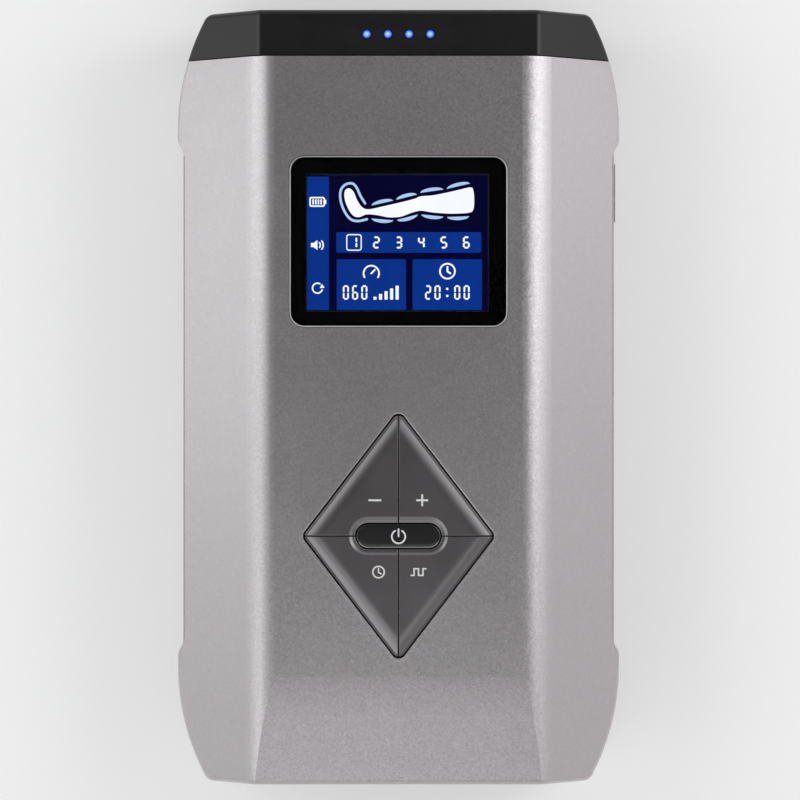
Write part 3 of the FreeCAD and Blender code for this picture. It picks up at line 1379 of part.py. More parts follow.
def make_flap():
    """Flap over the charging socket, with a thin root so that it can swing down."""
    y = about("port_along", "flap_length")
    plate = block(("hinge_x - hinge_barrel", "recess_x + flap_proud"), y,
                  ("hinge_z + flap_root", "hinge_z + flap_height"))
    root = block(("hinge_x - hinge_barrel", "hinge_x + hinge_barrel"), y,
                 ("hinge_z", "hinge_z + flap_root + flap_gap"))
    barrel = rod("y", "hinge_barrel", y, x="hinge_x", z="hinge_z")
    bore = rod("y", "hinge_radius + hinge_fit", y, x="hinge_x", z="hinge_z")
    node(cut(fuse(plate, root, barrel), bore), "charge_port_flap")
    reach = "window_half + hinge_hold - press_gap"
    node(rod("y", "hinge_radius", ("port_along - (%s)" % reach, "port_along + %s" % reach),
             x="hinge_x", z="hinge_z"), "flap_hinge_pin")


# ---------------------------------------------------------------- fasteners and feet

def make_fasteners():
    """Case screws and rubber feet."""
    screws = []
    for x, y in screw_places():
        head = rod("z", "case_screw_head_radius", ("screw_head_top_z", "screw_seat_z"), x=x, y=y)
        shank = rod("z", "case_screw_radius",
                    ("screw_seat_z - case_screw_head / 2", "screw_seat_z + case_screw_length"),
                    x=x, y=y)
        deep = ("screw_head_top_z - case_screw_head", "screw_head_top_z + case_screw_head / 2")
        slots = [block(about(x, "drive_arm"), about(y, "drive_slot"), deep),
                 block(about(x, "drive_slot"), about(y, "drive_arm"), deep)]
        screws.append(cut(fuse(head, shank), *slots))
    node(group(*screws), "case_screws")
    feet = []
    for x, y in foot_places():
        body = new_body("foot")
        pad_round(body, "foot_radius", ("0", "back_z + foot_sink"), x, y)
        dress(body, "Chamfer", "foot_edge", lambda edge: lies_at(edge, 0))
        feet.append(body)
    node(group(*feet), "rubber_feet")


# ---------------------------------------------------------------- whole document

def check():
    """Stop if any object failed or any piece has no valid solid."""
    for thing in doc.Objects:
        failed = {"Invalid", "Error"} & set(thing.State)
        if failed:
            raise RuntimeError("%s (%s) failed" % (thing.Name, thing.Label))
    for thing in nodes:
        shape = thing.Shape
        if shape.isNull() or not shape.isValid() or not shape.Solids:
            raise RuntimeError("%s has no valid solid" % thing.Label)


def export():
    """Write one STEP file for each piece."""
    os.makedirs("parts", exist_ok=True)
    for thing in nodes:
        thing.Shape.exportStep("parts/%s.step" % thing.Label)
        print("%-20s %2d solid(s) %10.1f mm3" % (thing.Label, len(thing.Shape.Solids),
                                                 thing.Shape.Volume))
    print("%d pieces" % len(nodes))


fill_sheet()
make_shells()
make_display()
make_keys()
make_boards()
make_indicators()
make_air_path()
make_pump()
make_battery()
make_inlet()
make_port()
make_fasteners()
doc.recompute()
check()
export()
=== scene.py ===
"""Looks of a compression therapy pump: pieces, finishes, display picture and stage."""
import json
import math

import bmesh
import bpy
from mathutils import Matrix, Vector


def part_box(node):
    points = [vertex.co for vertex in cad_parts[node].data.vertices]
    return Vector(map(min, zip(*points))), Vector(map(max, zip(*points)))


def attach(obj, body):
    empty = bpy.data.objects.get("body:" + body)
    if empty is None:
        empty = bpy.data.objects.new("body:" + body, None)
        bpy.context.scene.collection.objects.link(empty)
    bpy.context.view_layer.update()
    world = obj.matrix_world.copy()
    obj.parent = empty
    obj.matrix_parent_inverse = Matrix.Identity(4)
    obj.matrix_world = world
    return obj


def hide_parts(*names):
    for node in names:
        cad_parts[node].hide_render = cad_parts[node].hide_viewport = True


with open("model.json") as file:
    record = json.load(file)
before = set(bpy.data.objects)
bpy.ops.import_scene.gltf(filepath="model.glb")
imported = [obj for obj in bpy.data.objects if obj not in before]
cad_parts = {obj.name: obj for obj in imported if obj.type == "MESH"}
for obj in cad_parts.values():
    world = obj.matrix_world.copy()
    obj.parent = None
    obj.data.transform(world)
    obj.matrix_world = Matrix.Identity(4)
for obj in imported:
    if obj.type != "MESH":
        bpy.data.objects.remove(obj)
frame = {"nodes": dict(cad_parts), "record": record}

bl_info = {
    "name": "Compression pump looks",
    "version": (1, 0, 0),
    "blender": (4, 5, 0),
    "location": "3D View > Sidebar > Pump",
    "description": "Dresses the compression pump with its keys, display picture, finishes and stage",
    "category": "Object",
}

MM = 0.001
NODES = frame["nodes"]
SLOT_OF = {part["node"]: part["material_slot"] for part in frame["record"]["subparts"]}
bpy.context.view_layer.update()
FINISHES = {}
EFFECTS = {}

# Places that the carried parts give.
GLASS_LOW, GLASS_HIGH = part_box("display_lens")
GLASS_MIDDLE = (GLASS_LOW + GLASS_HIGH) / 2
SCREEN_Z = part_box("display_module")[1].z
RIM_LOW, RIM_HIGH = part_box("power_rim_ring")
POWER_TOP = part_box("power_key")[1].z
PIPES_LOW, PIPES_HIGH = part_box("light_pipes")
FACE_Z = GLASS_HIGH.z
KEYS_Y = (RIM_LOW.y + RIM_HIGH.y) / 2

# The front wall, and the keys' lip that lies under it.
WALL_THICK = 2.4 * MM
LIP_THICK = 1.2 * MM
INNER_Z = FACE_Z - WALL_THICK
LIP_Z = INNER_Z - LIP_THICK

# How meshes are cleaned and shaded.
MERGE_GAP = 0.001 * MM
SHARP_ANGLE = math.radians(38)


# ---------------------------------------------------------------- sizes that a user may change

class KeySizes(bpy.types.PropertyGroup):
    """Sizes of the key diamond"""
    half_width: bpy.props.FloatProperty(
        name="Half width", description="Half width of the key opening, to its sharp tips",
        default=26.3 * MM, unit="LENGTH", precision=5)
    half_height: bpy.props.FloatProperty(
        name="Half height", description="Half height of the key opening, to its sharp tips",
        default=34.4 * MM, unit="LENGTH", precision=5)
    tip_radius: bpy.props.FloatProperty(
        name="Tip radius", description="Rounding of the opening's tips",
        default=2.2 * MM, unit="LENGTH", precision=5)
    gap: bpy.props.FloatProperty(
        name="Gap", description="Shadow gap between the keys and the case",
        default=0.44 * MM, unit="LENGTH", precision=5)
    split: bpy.props.FloatProperty(
        name="Split", description="Shadow gap between neighbouring keys",
        default=0.28 * MM, unit="LENGTH", precision=5)
    proud: bpy.props.FloatProperty(
        name="Height", description="How far the flat of a key stands out of the face",
        default=0.9 * MM, unit="LENGTH", precision=5)
    slope_width: bpy.props.FloatProperty(
        name="Slope width", description="Width of the soft slope along the outer edges",
        default=4.2 * MM, unit="LENGTH", precision=5)
    slope_drop: bpy.props.FloatProperty(
        name="Slope drop", description="Fall of the soft slope along the outer edges",
        default=0.64 * MM, unit="LENGTH", precision=5)
    ledge: bpy.props.FloatProperty(
        name="Ledge", description="Narrow flat ledge outside the soft slope",
        default=0.42 * MM, unit="LENGTH", precision=5)
    dish_width: bpy.props.FloatProperty(
        name="Dish width", description="Width of the dish around the power key",
        default=1.6 * MM, unit="LENGTH", precision=5)
    dish_drop: bpy.props.FloatProperty(
        name="Dish drop", description="Fall of the dish around the power key",
        default=0.47 * MM, unit="LENGTH", precision=5)
    lip: bpy.props.FloatProperty(
        name="Lip", description="How far a key's lip reaches under the face",
        default=1.4 * MM, unit="LENGTH", precision=5)
    power_gap: bpy.props.FloatProperty(
        name="Power gap", description="Shadow gap between the keys and the power key's rim",
        default=0.12 * MM, unit="LENGTH", precision=5)
    power_width: bpy.props.FloatProperty(
        name="Power width", description="Bright rim of the power key, across",
        default=23.3 * MM, unit="LENGTH", precision=5)
    power_height: bpy.props.FloatProperty(
        name="Power height", description="Bright rim of the power key, along",
        default=7.0 * MM, unit="LENGTH", precision=5)
    legend: bpy.props.FloatVectorProperty(
        name="Legend colour", description="Printed symbols on the keys",
        default=(0.78, 0.78, 0.78), subtype="COLOR", min=0, max=1)


class ScreenSizes(bpy.types.PropertyGroup):
    """Sizes and colours of the display picture"""
    width: bpy.props.FloatProperty(
        name="Picture width", description="Lit part of the display, across",
        default=48.96 * MM, unit="LENGTH", precision=5)
    height: bpy.props.FloatProperty(
        name="Picture height", description="Lit part of the display, along",
        default=36.72 * MM, unit="LENGTH", precision=5)
    shift: bpy.props.FloatProperty(
        name="Picture shift", description="How far the picture sits left of and below the middle",
        default=0.3 * MM, unit="LENGTH", precision=5)
    corner: bpy.props.FloatProperty(
        name="Glass corner", description="Corner radius of the display glass",
        default=4.0 * MM, unit="LENGTH", precision=5)
    dot_pitch: bpy.props.FloatProperty(
        name="Dot pitch", description="Spacing of the screen's dots",
        default=0.153 * MM, unit="LENGTH", precision=6)
    field: bpy.props.FloatVectorProperty(
        name="Field", description="Dark background of the picture",
        default=(0.0012, 0.0012, 0.022), subtype="COLOR", min=0, max=1)
    bar: bpy.props.FloatVectorProperty(
        name="Bars", description="Side bar and tiles",
        default=(0.0025, 0.03, 0.235), subtype="COLOR", min=0, max=1)
    ink: bpy.props.FloatVectorProperty(
        name="Ink", description="Symbols and numerals of the picture",
        default=(0.95, 0.97, 1.0), subtype="COLOR", min=0, max=1)
    pale: bpy.props.FloatVectorProperty(
        name="Pale ink", description="Air chambers of the picture",
        default=(0.42, 0.6, 0.88), subtype="COLOR", min=0, max=1)


class LampSizes(bpy.types.PropertyGroup):
    """Indicators of the head cap"""
    pitch: bpy.props.FloatProperty(
        name="Pitch", description="Spacing of the indicators",
        default=5.73 * MM, unit="LENGTH", precision=5)
    radius: bpy.props.FloatProperty(
        name="Radius", description="Radius of an indicator",
        default=1.0 * MM, unit="LENGTH", precision=5)
    glow: bpy.props.FloatVectorProperty(
        name="Glow", description="Light of the indicators",
        default=(0.25, 0.6, 1.0), subtype="COLOR", min=0, max=1)


class StageSizes(bpy.types.PropertyGroup):
    """Floor, light and camera"""
    camera_height: bpy.props.FloatProperty(
        name="Camera height", description="Camera above the front face",
        default=0.97, unit="LENGTH")
    view_width: bpy.props.FloatProperty(
        name="View width", description="What the camera sees across at the front face",
        default=216.4 * MM, unit="LENGTH", precision=5)
    floor: bpy.props.FloatVectorProperty(
        name="Floor", description="Floor and backdrop",
        default=(0.86, 0.86, 0.86), subtype="COLOR", min=0, max=1)


# ---------------------------------------------------------------- meshes

def piece(name, shape, finish, body, smooth=True, replaces=()):
    """A mesh piece that rides on a body and takes its finish."""
    mesh = bpy.data.meshes.new(name)
    mesh.from_pydata([tuple(v) for v in shape.verts], [], shape.faces)
    mesh.validate()
    mesh.materials.append(FINISHES[finish])
    made = bpy.data.objects.new(name, mesh)
    bpy.context.scene.collection.objects.link(made)
    work = bmesh.new()
    work.from_mesh(mesh)
    bmesh.ops.remove_doubles(work, verts=work.verts, dist=MERGE_GAP)
    bmesh.ops.dissolve_degenerate(work, edges=work.edges, dist=MERGE_GAP)
    bmesh.ops.recalc_face_normals(work, faces=work.faces)
    work.to_mesh(mesh)
    work.free()
    if smooth:
        mesh.shade_smooth()
        mesh.set_sharp_from_angle(angle=SHARP_ANGLE)
    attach(made, body)
    if replaces:
        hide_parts(*replaces)
    return made


class Shape:
    """Vertices and faces that are put together before they become one piece."""

    def __init__(self):
        self.verts, self.faces = [], []

    def loops(self, loops, close=True, caps=True):
        """Join loops of equal length by quads, and cap both ends."""
        count = len(loops[0])
        base = len(self.verts)
        for loop in loops:
            self.verts.extend(Vector(p) for p in loop)
        edges = count if close else count - 1
        for row in range(len(loops) - 1):
            low, high = base + row * count, base + (row + 1) * count
            for i in range(edges):
                j = (i + 1) % count
                self.faces.append((low + i, low + j, high + j, high + i))
        if caps:
            self.faces.append(tuple(base + i for i in range(count - 1, -1, -1)))
            self.faces.append(tuple(base + (len(loops) - 1) * count + i for i in range(count)))
        return self

    def tube(self, loops, close=True):
        """Join loops by quads and leave both ends open."""
        return self.loops(loops, close, caps=False)

    def plate(self, outline, low, high):
        """A flat plate with a given outline."""
        return self.loops([raised(outline, low), raised(outline, high)])

    def ring(self, outer, inner, low, high):
        """A flat ring between two outlines of equal length."""
        return self.tube([raised(outer, low), raised(outer, high), raised(inner, high),
                          raised(inner, low), raised(outer, low)])


def raised(outline, z):
    """An outline at a height."""
    return [(x, y, z) for x, y in outline]


def arc(cx, cy, radius, start, end, count):
    """Points along an arc, angles in degrees."""
    angles = [math.radians(start + (end - start) * i / (count - 1)) for i in range(count)]
    return [(cx + radius * math.cos(angle), cy + radius * math.sin(angle)) for angle in angles]


def rounded_rectangle(cx, cy, width, height, radius, count=9):
    """Outline of a rectangle with rounded corners, counter-clockwise."""
    w, h = width / 2 - radius, height / 2 - radius
    return (arc(cx + w, cy - h, radius, -90, 0, count) + arc(cx + w, cy + h, radius, 0, 90, count)
            + arc(cx - w, cy + h, radius, 90, 180, count)
            + arc(cx - w, cy - h, radius, 180, 270, count))


def stadium(cx, cy, width, height, count=25):
    """Outline of a slot with round ends, counter-clockwise."""
    r = height / 2
    w = width / 2 - r
    return arc(cx + w, cy, r, -90, 90, count) + arc(cx - w, cy, r, 90, 270, count)


def circle(cx, cy, radius, count=40):
    """Outline of a circle."""
    return arc(cx, cy, radius, 0, 360 - 360 / count, count)


# At a turn, a ribbon's edge lies at most 1 / LEAST_TURN times its half width from its middle line.
LEAST_TURN = 0.4


def ribbon(points, width, caps=7):
    """Outline of a stroke with round ends along an open run of points, with its turns held in."""
    pts = [Vector(p) for p in points]
    half = width / 2
    left, right = [], []
    for i, p in enumerate(pts):
        before = (p - pts[i - 1]).normalized() if i else None
        after = (pts[i + 1] - p).normalized() if i + 1 < len(pts) else None
        along = before or after
        if before and after:
            along = (before + after).normalized()
        side = Vector((-along.y, along.x))
        stretch = 1.0
        if before and after:
            stretch = 1 / max(LEAST_TURN, side.dot(Vector((-after.y, after.x))))
        left.append(p + side * half * stretch)
        right.append(p - side * half * stretch)
    start, end = pts[0], pts[-1]
    a = math.degrees(math.atan2(*(left[0] - start).yx))
    b = math.degrees(math.atan2(*(right[-1] - end).yx))
    return ([tuple(p) for p in right[1:-1]] + arc(end.x, end.y, half, b, b + 180, caps)
            + [tuple(p) for p in reversed(left[1:-1])] + arc(start.x, start.y, half, a, a + 180, caps))


# ---------------------------------------------------------------- effects

# Paint flakes: soft clouds and small blots, and how level a surface is where the flakes' painted sparkle
# shows fully.
CLOUD_SCALE, CLOUD_DEPTH = 420.0, 0.05
BLOT_SCALE = 1150.0
LEVEL_FROM, LEVEL_TO = 0.8, 0.98
# Noise scale of the broad mask beside the fine grain.
BROAD_SCALE = 90.0
# Pointiness of an edge where wear starts and where it is full.
EDGE_FROM, EDGE_TO = 0.52, 0.62
# Noise values between which a dust patch fades in.
DUST_FROM, DUST_TO = 0.42, 0.72
# Screen dots: where a dot's dark border lies, and how the brightness drifts across the screen.
DOT_FROM, DOT_TO = 0.36, 0.5
DRIFT_SCALE, DRIFT_LEVEL, DRIFT_DEPTH = 60.0, 0.88, 0.24
# Indicators: the unevenness of the glow's edge.
FADE_SCALE, FADE_UNEVEN = 1400.0, 0.35


def effect(name, inputs, outputs):
    """An empty node group with named inputs and outputs."""
    group = bpy.data.node_groups.new(name, "ShaderNodeTree")
    for label, kind, default in inputs:
        made = group.interface.new_socket(name=label, in_out="INPUT", socket_type=kind)
        made.default_value = default
    for label, kind in outputs:
        group.interface.new_socket(name=label, in_out="OUTPUT", socket_type=kind)
    start = group.nodes.new("NodeGroupInput")
    end = group.nodes.new("NodeGroupOutput")
    EFFECTS[name] = group
    return group, start.outputs, end.inputs


def add(tree, kind, links=None, **settings):
    """A node with its settings; links give sockets by name, as values or as outputs."""
    node = tree.nodes.new(kind)
    for key, setting in settings.items():
        setattr(node, key, setting)
    for key, source in (links or {}).items():
        socket = node.inputs[key]
        if isinstance(source, bpy.types.NodeSocket):
            tree.links.new(source, socket)
        else:
            socket.default_value = source
    return node


def math_node(tree, operation, *values):
    """The result of a sum on values or outputs."""
    return add(tree, "ShaderNodeMath", dict(enumerate(values)), operation=operation).outputs[0]


def vector_node(tree, operation, first, second=None):
    """The result of a sum on vectors; for SCALE the second is a number."""
    links = {0: first}
    if second is not None:
        links["Scale" if operation == "SCALE" else 1] = second
    return add(tree, "ShaderNodeVectorMath", links, operation=operation).outputs[0]


def swing(tree, level, depth):
    """A level between 0 and 1 as a swing about zero, times a depth."""
    return math_node(tree, "MULTIPLY", math_node(tree, "SUBTRACT", level, 0.5), depth)


def noise(tree, place, scale, detail):
    """Levels of a noise at a place."""
    return add(tree, "ShaderNodeTexNoise",
               {"Vector": place, "Scale": scale, "Detail": detail}).outputs[0]


def fade_in(tree, level, start, end):
    """0 up to a start, 1 from an end on, and even between them."""
    return add(tree, "ShaderNodeMapRange",
               {"Value": level, "From Min": start, "From Max": end}).outputs[0]


def own_place(tree):
    """Places in a piece's own frame."""
    return add(tree, "ShaderNodeTexCoord").outputs["Object"]


def make_effects():
    """Effects that more than one finish uses."""
    flake_effect()
    grain_effect()
    wear_effect()
    dust_effect()
    screen_dots_effect()
    lamp_fade_effect()


def flake_effect():
    """Metal flakes in paint: each leans its own way, and its lighter or darker tone is painted sparkle,
    most of all on top.
    """
    group, given, result = effect(
        "Paint flakes",
        [("Size", "NodeSocketFloat", 0.0003), ("Lean", "NodeSocketFloat", 0.2),
         ("Contrast", "NodeSocketFloat", 0.2), ("Mottle", "NodeSocketFloat", 0.2),
         ("Flank", "NodeSocketFloat", 0.3), ("Colour", "NodeSocketColor", (0.6, 0.6, 0.6, 1))],
        [("Colour", "NodeSocketColor"), ("Normal", "NodeSocketVector")])
    place = own_place(group)
    scale = math_node(group, "DIVIDE", 1.0, given["Size"])
    cells = add(group, "ShaderNodeTexVoronoi", {"Vector": place, "Scale": scale}).outputs["Color"]
    normal = add(group, "ShaderNodeNewGeometry").outputs["Normal"]
    upright = add(group, "ShaderNodeSeparateXYZ", {"Vector": normal}).outputs[2]
    level = add(group, "ShaderNodeMapRange",
                {"Value": upright, "From Min": LEVEL_FROM, "From Max": LEVEL_TO,
                 "To Min": given["Flank"], "To Max": 1.0}).outputs[0]
    lean = vector_node(group, "SUBTRACT", cells, (0.5, 0.5, 0.5))
    lean = vector_node(group, "SCALE", lean, math_node(group, "MULTIPLY", given["Lean"], level))
    tilted = vector_node(group, "NORMALIZE", vector_node(group, "ADD", normal, lean))
    single = add(group, "ShaderNodeSeparateColor", {"Color": cells}).outputs[0]
    mottled = swing(group, noise(group, place, BLOT_SCALE, 1.0), given["Mottle"])
    # Painted sparkle: the flakes' and blots' lighter and darker tone, held mostly to level faces.
    spread = math_node(group, "ADD", swing(group, single, given["Contrast"]), mottled)
    cloudy = swing(group, noise(group, place, CLOUD_SCALE, 3.0), CLOUD_DEPTH)
    factor = math_node(group, "ADD", math_node(group, "MULTIPLY", spread, level), cloudy)
    factor = math_node(group, "ADD", factor, 1.0)
    group.links.new(vector_node(group, "SCALE", given["Colour"], factor), result["Colour"])
    group.links.new(tilted, result["Normal"])


def grain_effect():
    """Fine moulded or brushed grain as a height."""
    group, given, result = effect(
        "Fine grain",
        [("Size", "NodeSocketFloat", 0.0004), ("Stretch", "NodeSocketVector", (1.0, 1.0, 1.0)),
         ("Detail", "NodeSocketFloat", 4.0)],
        [("Height", "NodeSocketFloat"), ("Mask", "NodeSocketFloat")])
    place = own_place(group)
    pulled = vector_node(group, "MULTIPLY", place, given["Stretch"])
    scale = math_node(group, "DIVIDE", 1.0, given["Size"])
    group.links.new(noise(group, pulled, scale, given["Detail"]), result["Height"])
    group.links.new(noise(group, place, BROAD_SCALE, 5.0), result["Mask"])


def wear_effect():
    """Handling wear on convex edges, broken up by noise."""
    group, given, result = effect(
        "Edge wear", [("Amount", "NodeSocketFloat", 0.3), ("Breakup", "NodeSocketFloat", 0.0012)],
        [("Mask", "NodeSocketFloat")])
    edge = add(group, "ShaderNodeNewGeometry").outputs["Pointiness"]
    scale = math_node(group, "DIVIDE", 1.0, given["Breakup"])
    broken = math_node(group, "MULTIPLY", fade_in(group, edge, EDGE_FROM, EDGE_TO),
                       noise(group, own_place(group), scale, 6.0))
    group.links.new(math_node(group, "MULTIPLY", broken, given["Amount"]), result["Mask"])


def dust_effect():
    """A thin uneven film of dust and finger marks."""
    group, given, result = effect(
        "Dust film", [("Amount", "NodeSocketFloat", 0.2), ("Size", "NodeSocketFloat", 0.02)],
        [("Mask", "NodeSocketFloat")])
    scale = math_node(group, "DIVIDE", 1.0, given["Size"])
    patches = fade_in(group, noise(group, own_place(group), scale, 8.0), DUST_FROM, DUST_TO)
    group.links.new(math_node(group, "MULTIPLY", patches, given["Amount"]), result["Mask"])


def screen_dots_effect():
    """Lit dots of a screen: a fine grid, and a slow change of brightness."""
    group, given, result = effect(
        "Screen dots",
        [("Colour", "NodeSocketColor", (0.0, 0.1, 0.5, 1)), ("Pitch", "NodeSocketFloat", 0.00015),
         ("Depth", "NodeSocketFloat", 0.25)],
        [("Colour", "NodeSocketColor")])
    place = own_place(group)
    axes = add(group, "ShaderNodeSeparateXYZ", {"Vector": place}).outputs
    lines = []
    for axis in (axes[0], axes[1]):
        step = math_node(group, "FRACT", math_node(group, "DIVIDE", axis, given["Pitch"]))
        edge = math_node(group, "ABSOLUTE", math_node(group, "SUBTRACT", step, 0.5))
        lines.append(fade_in(group, edge, DOT_FROM, DOT_TO))
    grid = math_node(group, "MAXIMUM", *lines)
    dim = math_node(group, "SUBTRACT", 1.0, math_node(group, "MULTIPLY", grid, given["Depth"]))
    slow = math_node(group, "MULTIPLY", noise(group, place, DRIFT_SCALE, 2.0), DRIFT_DEPTH)
    level = math_node(group, "MULTIPLY", dim, math_node(group, "ADD", DRIFT_LEVEL, slow))
    group.links.new(vector_node(group, "SCALE", given["Colour"], level), result["Colour"])


def lamp_fade_effect():
    """From an indicator's middle outwards, between two shares of its radius, with an uneven edge."""
    group, given, result = effect(
        "Lamp fade",
        [("Radius", "NodeSocketFloat", 0.001), ("From", "NodeSocketFloat", 0.0),
         ("To", "NodeSocketFloat", 1.0)],
        [("Mask", "NodeSocketFloat")])
    place = own_place(group)
    flat = vector_node(group, "MULTIPLY", place, (1.0, 1.0, 0.0))
    away = add(group, "ShaderNodeVectorMath", {0: flat}, operation="LENGTH").outputs["Value"]
    uneven = swing(group, noise(group, place, FADE_SCALE, 2.0),
                   math_node(group, "MULTIPLY", given["Radius"], FADE_UNEVEN))
    fade = add(group, "ShaderNodeMapRange",
               {"Value": math_node(group, "ADD", away, uneven),
                "From Min": math_node(group, "MULTIPLY", given["Radius"], given["From"]),
                "From Max": math_node(group, "MULTIPLY", given["Radius"], given["To"])},
               interpolation_type="SMOOTHSTEP").outputs[0]
    group.links.new(fade, result["Mask"])


def placed(tree, name, **inputs):
    """An effect placed in a material with its own values."""
    return add(tree, "ShaderNodeGroup", inputs, node_tree=EFFECTS[name]).outputs


# ---------------------------------------------------------------- finishes

# Paint: rubbed and dusty paint as shares of its colour, and what dust adds to its roughness.
PAINT_COAT_ROUGHNESS = 0.22
PAINT_WEAR, PAINT_WEAR_SIZE, RUBBED_SHARE = 0.35, 0.0015, 0.5
PAINT_DUST, PAINT_DUST_SIZE, DUSTY_SHARE, PAINT_DUST_ROUGHNESS = 0.03, 0.018, 0.86, 0.5
# Plastic: worn and dusty colour as a gain and a lift, and what dust and clouds add to its roughness.
WORN_GAIN, WORN_LIFT = 1.6, 0.03
DUST_GAIN, DUST_LIFT, DUST_ROUGHNESS = 0.9, 0.05, 0.6
CLOUD_ROUGHNESS = 0.08
BUMP_SHARE = 0.5
# Glass: its smooth base, and the film on it.
GLASS_ROUGHNESS, GLASS_FILM, GLASS_FILM_SIZE = 0.005, 0.02, 0.011
# How much darker a screen dot's border is.
DOT_DEPTH = 0.22


def blank(name, **shader):
    """A material with its Principled BSDF's plain values; gives its node tree and that node."""
    made = bpy.data.materials.new(name)
    made.use_nodes = True
    bsdf = made.node_tree.nodes["Principled BSDF"]
    for label, given in shader.items():
        bsdf.inputs[label.replace("_", " ")].default_value = given
    FINISHES[name] = made
    return made.node_tree, bsdf


# A Mix node's sockets for colours.
MIX_FACTOR, MIX_FIRST, MIX_SECOND, MIX_RESULT = 0, 6, 7, 2


def mix_colour(tree, factor, first, second):
    """Two colours mixed by a mask."""
    return add(tree, "ShaderNodeMix", {MIX_FACTOR: factor, MIX_FIRST: first, MIX_SECOND: second},
               data_type="RGBA").outputs[MIX_RESULT]


def rgba(colour):
    """A colour with full opacity."""
    return (*tuple(colour)[:3], 1.0)


def paint(name, colour, flake, lean, contrast, mottle, roughness, metallic, coat):
    """Metallic paint with flakes, dust and lightly rubbed edges."""
    tree, bsdf = blank(name, Metallic=metallic, Coat_Weight=coat, Coat_Roughness=PAINT_COAT_ROUGHNESS)
    flakes = placed(tree, "Paint flakes", Size=flake, Lean=lean, Contrast=contrast, Mottle=mottle,
                    Colour=rgba(colour))
    wear = placed(tree, "Edge wear", Amount=PAINT_WEAR, Breakup=PAINT_WEAR_SIZE)["Mask"]
    dust = placed(tree, "Dust film", Amount=PAINT_DUST, Size=PAINT_DUST_SIZE)["Mask"]
    rubbed = mix_colour(tree, wear, flakes["Colour"], rgba(c * RUBBED_SHARE for c in colour))
    dusty = mix_colour(tree, dust, rubbed, rgba(c * DUSTY_SHARE for c in colour))
    rough = math_node(tree, "ADD", roughness,
                      math_node(tree, "MULTIPLY", dust, PAINT_DUST_ROUGHNESS))
    tree.links.new(dusty, bsdf.inputs["Base Color"])
    tree.links.new(rough, bsdf.inputs["Roughness"])
    tree.links.new(flakes["Normal"], bsdf.inputs["Normal"])


def plastic(name, colour, roughness, grain=0.0003, depth=0.12, stretch=(1, 1, 1), metallic=0.0,
            coat=0.0, wear=0.25, dust=0.15, tint=0.12, **shader):
    """Moulded plastic, rubber or metal with grain, worn edges and a film of dust."""
    tree, bsdf = blank(name, Metallic=metallic, Coat_Weight=coat, **shader)
    fine = placed(tree, "Fine grain", Size=grain, Stretch=stretch)
    worn = placed(tree, "Edge wear", Amount=wear)["Mask"]
    film = placed(tree, "Dust film", Amount=dust)["Mask"]
    deep = rgba(c * (1 - tint) for c in colour)
    light = rgba(c * (1 + tint) for c in colour)
    cloudy = mix_colour(tree, fine["Mask"], deep, light)
    edged = mix_colour(tree, worn, cloudy, rgba(min(1, c * WORN_GAIN + WORN_LIFT) for c in colour))
    dusty = mix_colour(tree, film, edged, rgba(min(1, c * DUST_GAIN + DUST_LIFT) for c in colour))
    rough = math_node(tree, "ADD", roughness, math_node(tree, "MULTIPLY", film, DUST_ROUGHNESS))
    rough = math_node(tree, "ADD", rough, math_node(tree, "MULTIPLY", fine["Mask"], CLOUD_ROUGHNESS))
    bump = add(tree, "ShaderNodeBump", {"Height": fine["Height"], "Strength": depth,
                                        "Distance": grain * BUMP_SHARE})
    tree.links.new(dusty, bsdf.inputs["Base Color"])
    tree.links.new(rough, bsdf.inputs["Roughness"])
    tree.links.new(bump.outputs[0], bsdf.inputs["Normal"])


def lit(name, colour, pitch, strength):
    """A lit area of the screen."""
    tree, bsdf = blank(name, Base_Color=(0.002, 0.002, 0.004, 1), Roughness=0.5,
                       Specular_IOR_Level=0.0, Emission_Strength=strength)
    dots = placed(tree, "Screen dots", Colour=rgba(colour), Pitch=pitch, Depth=DOT_DEPTH)
    tree.links.new(dots["Colour"], bsdf.inputs["Emission Color"])


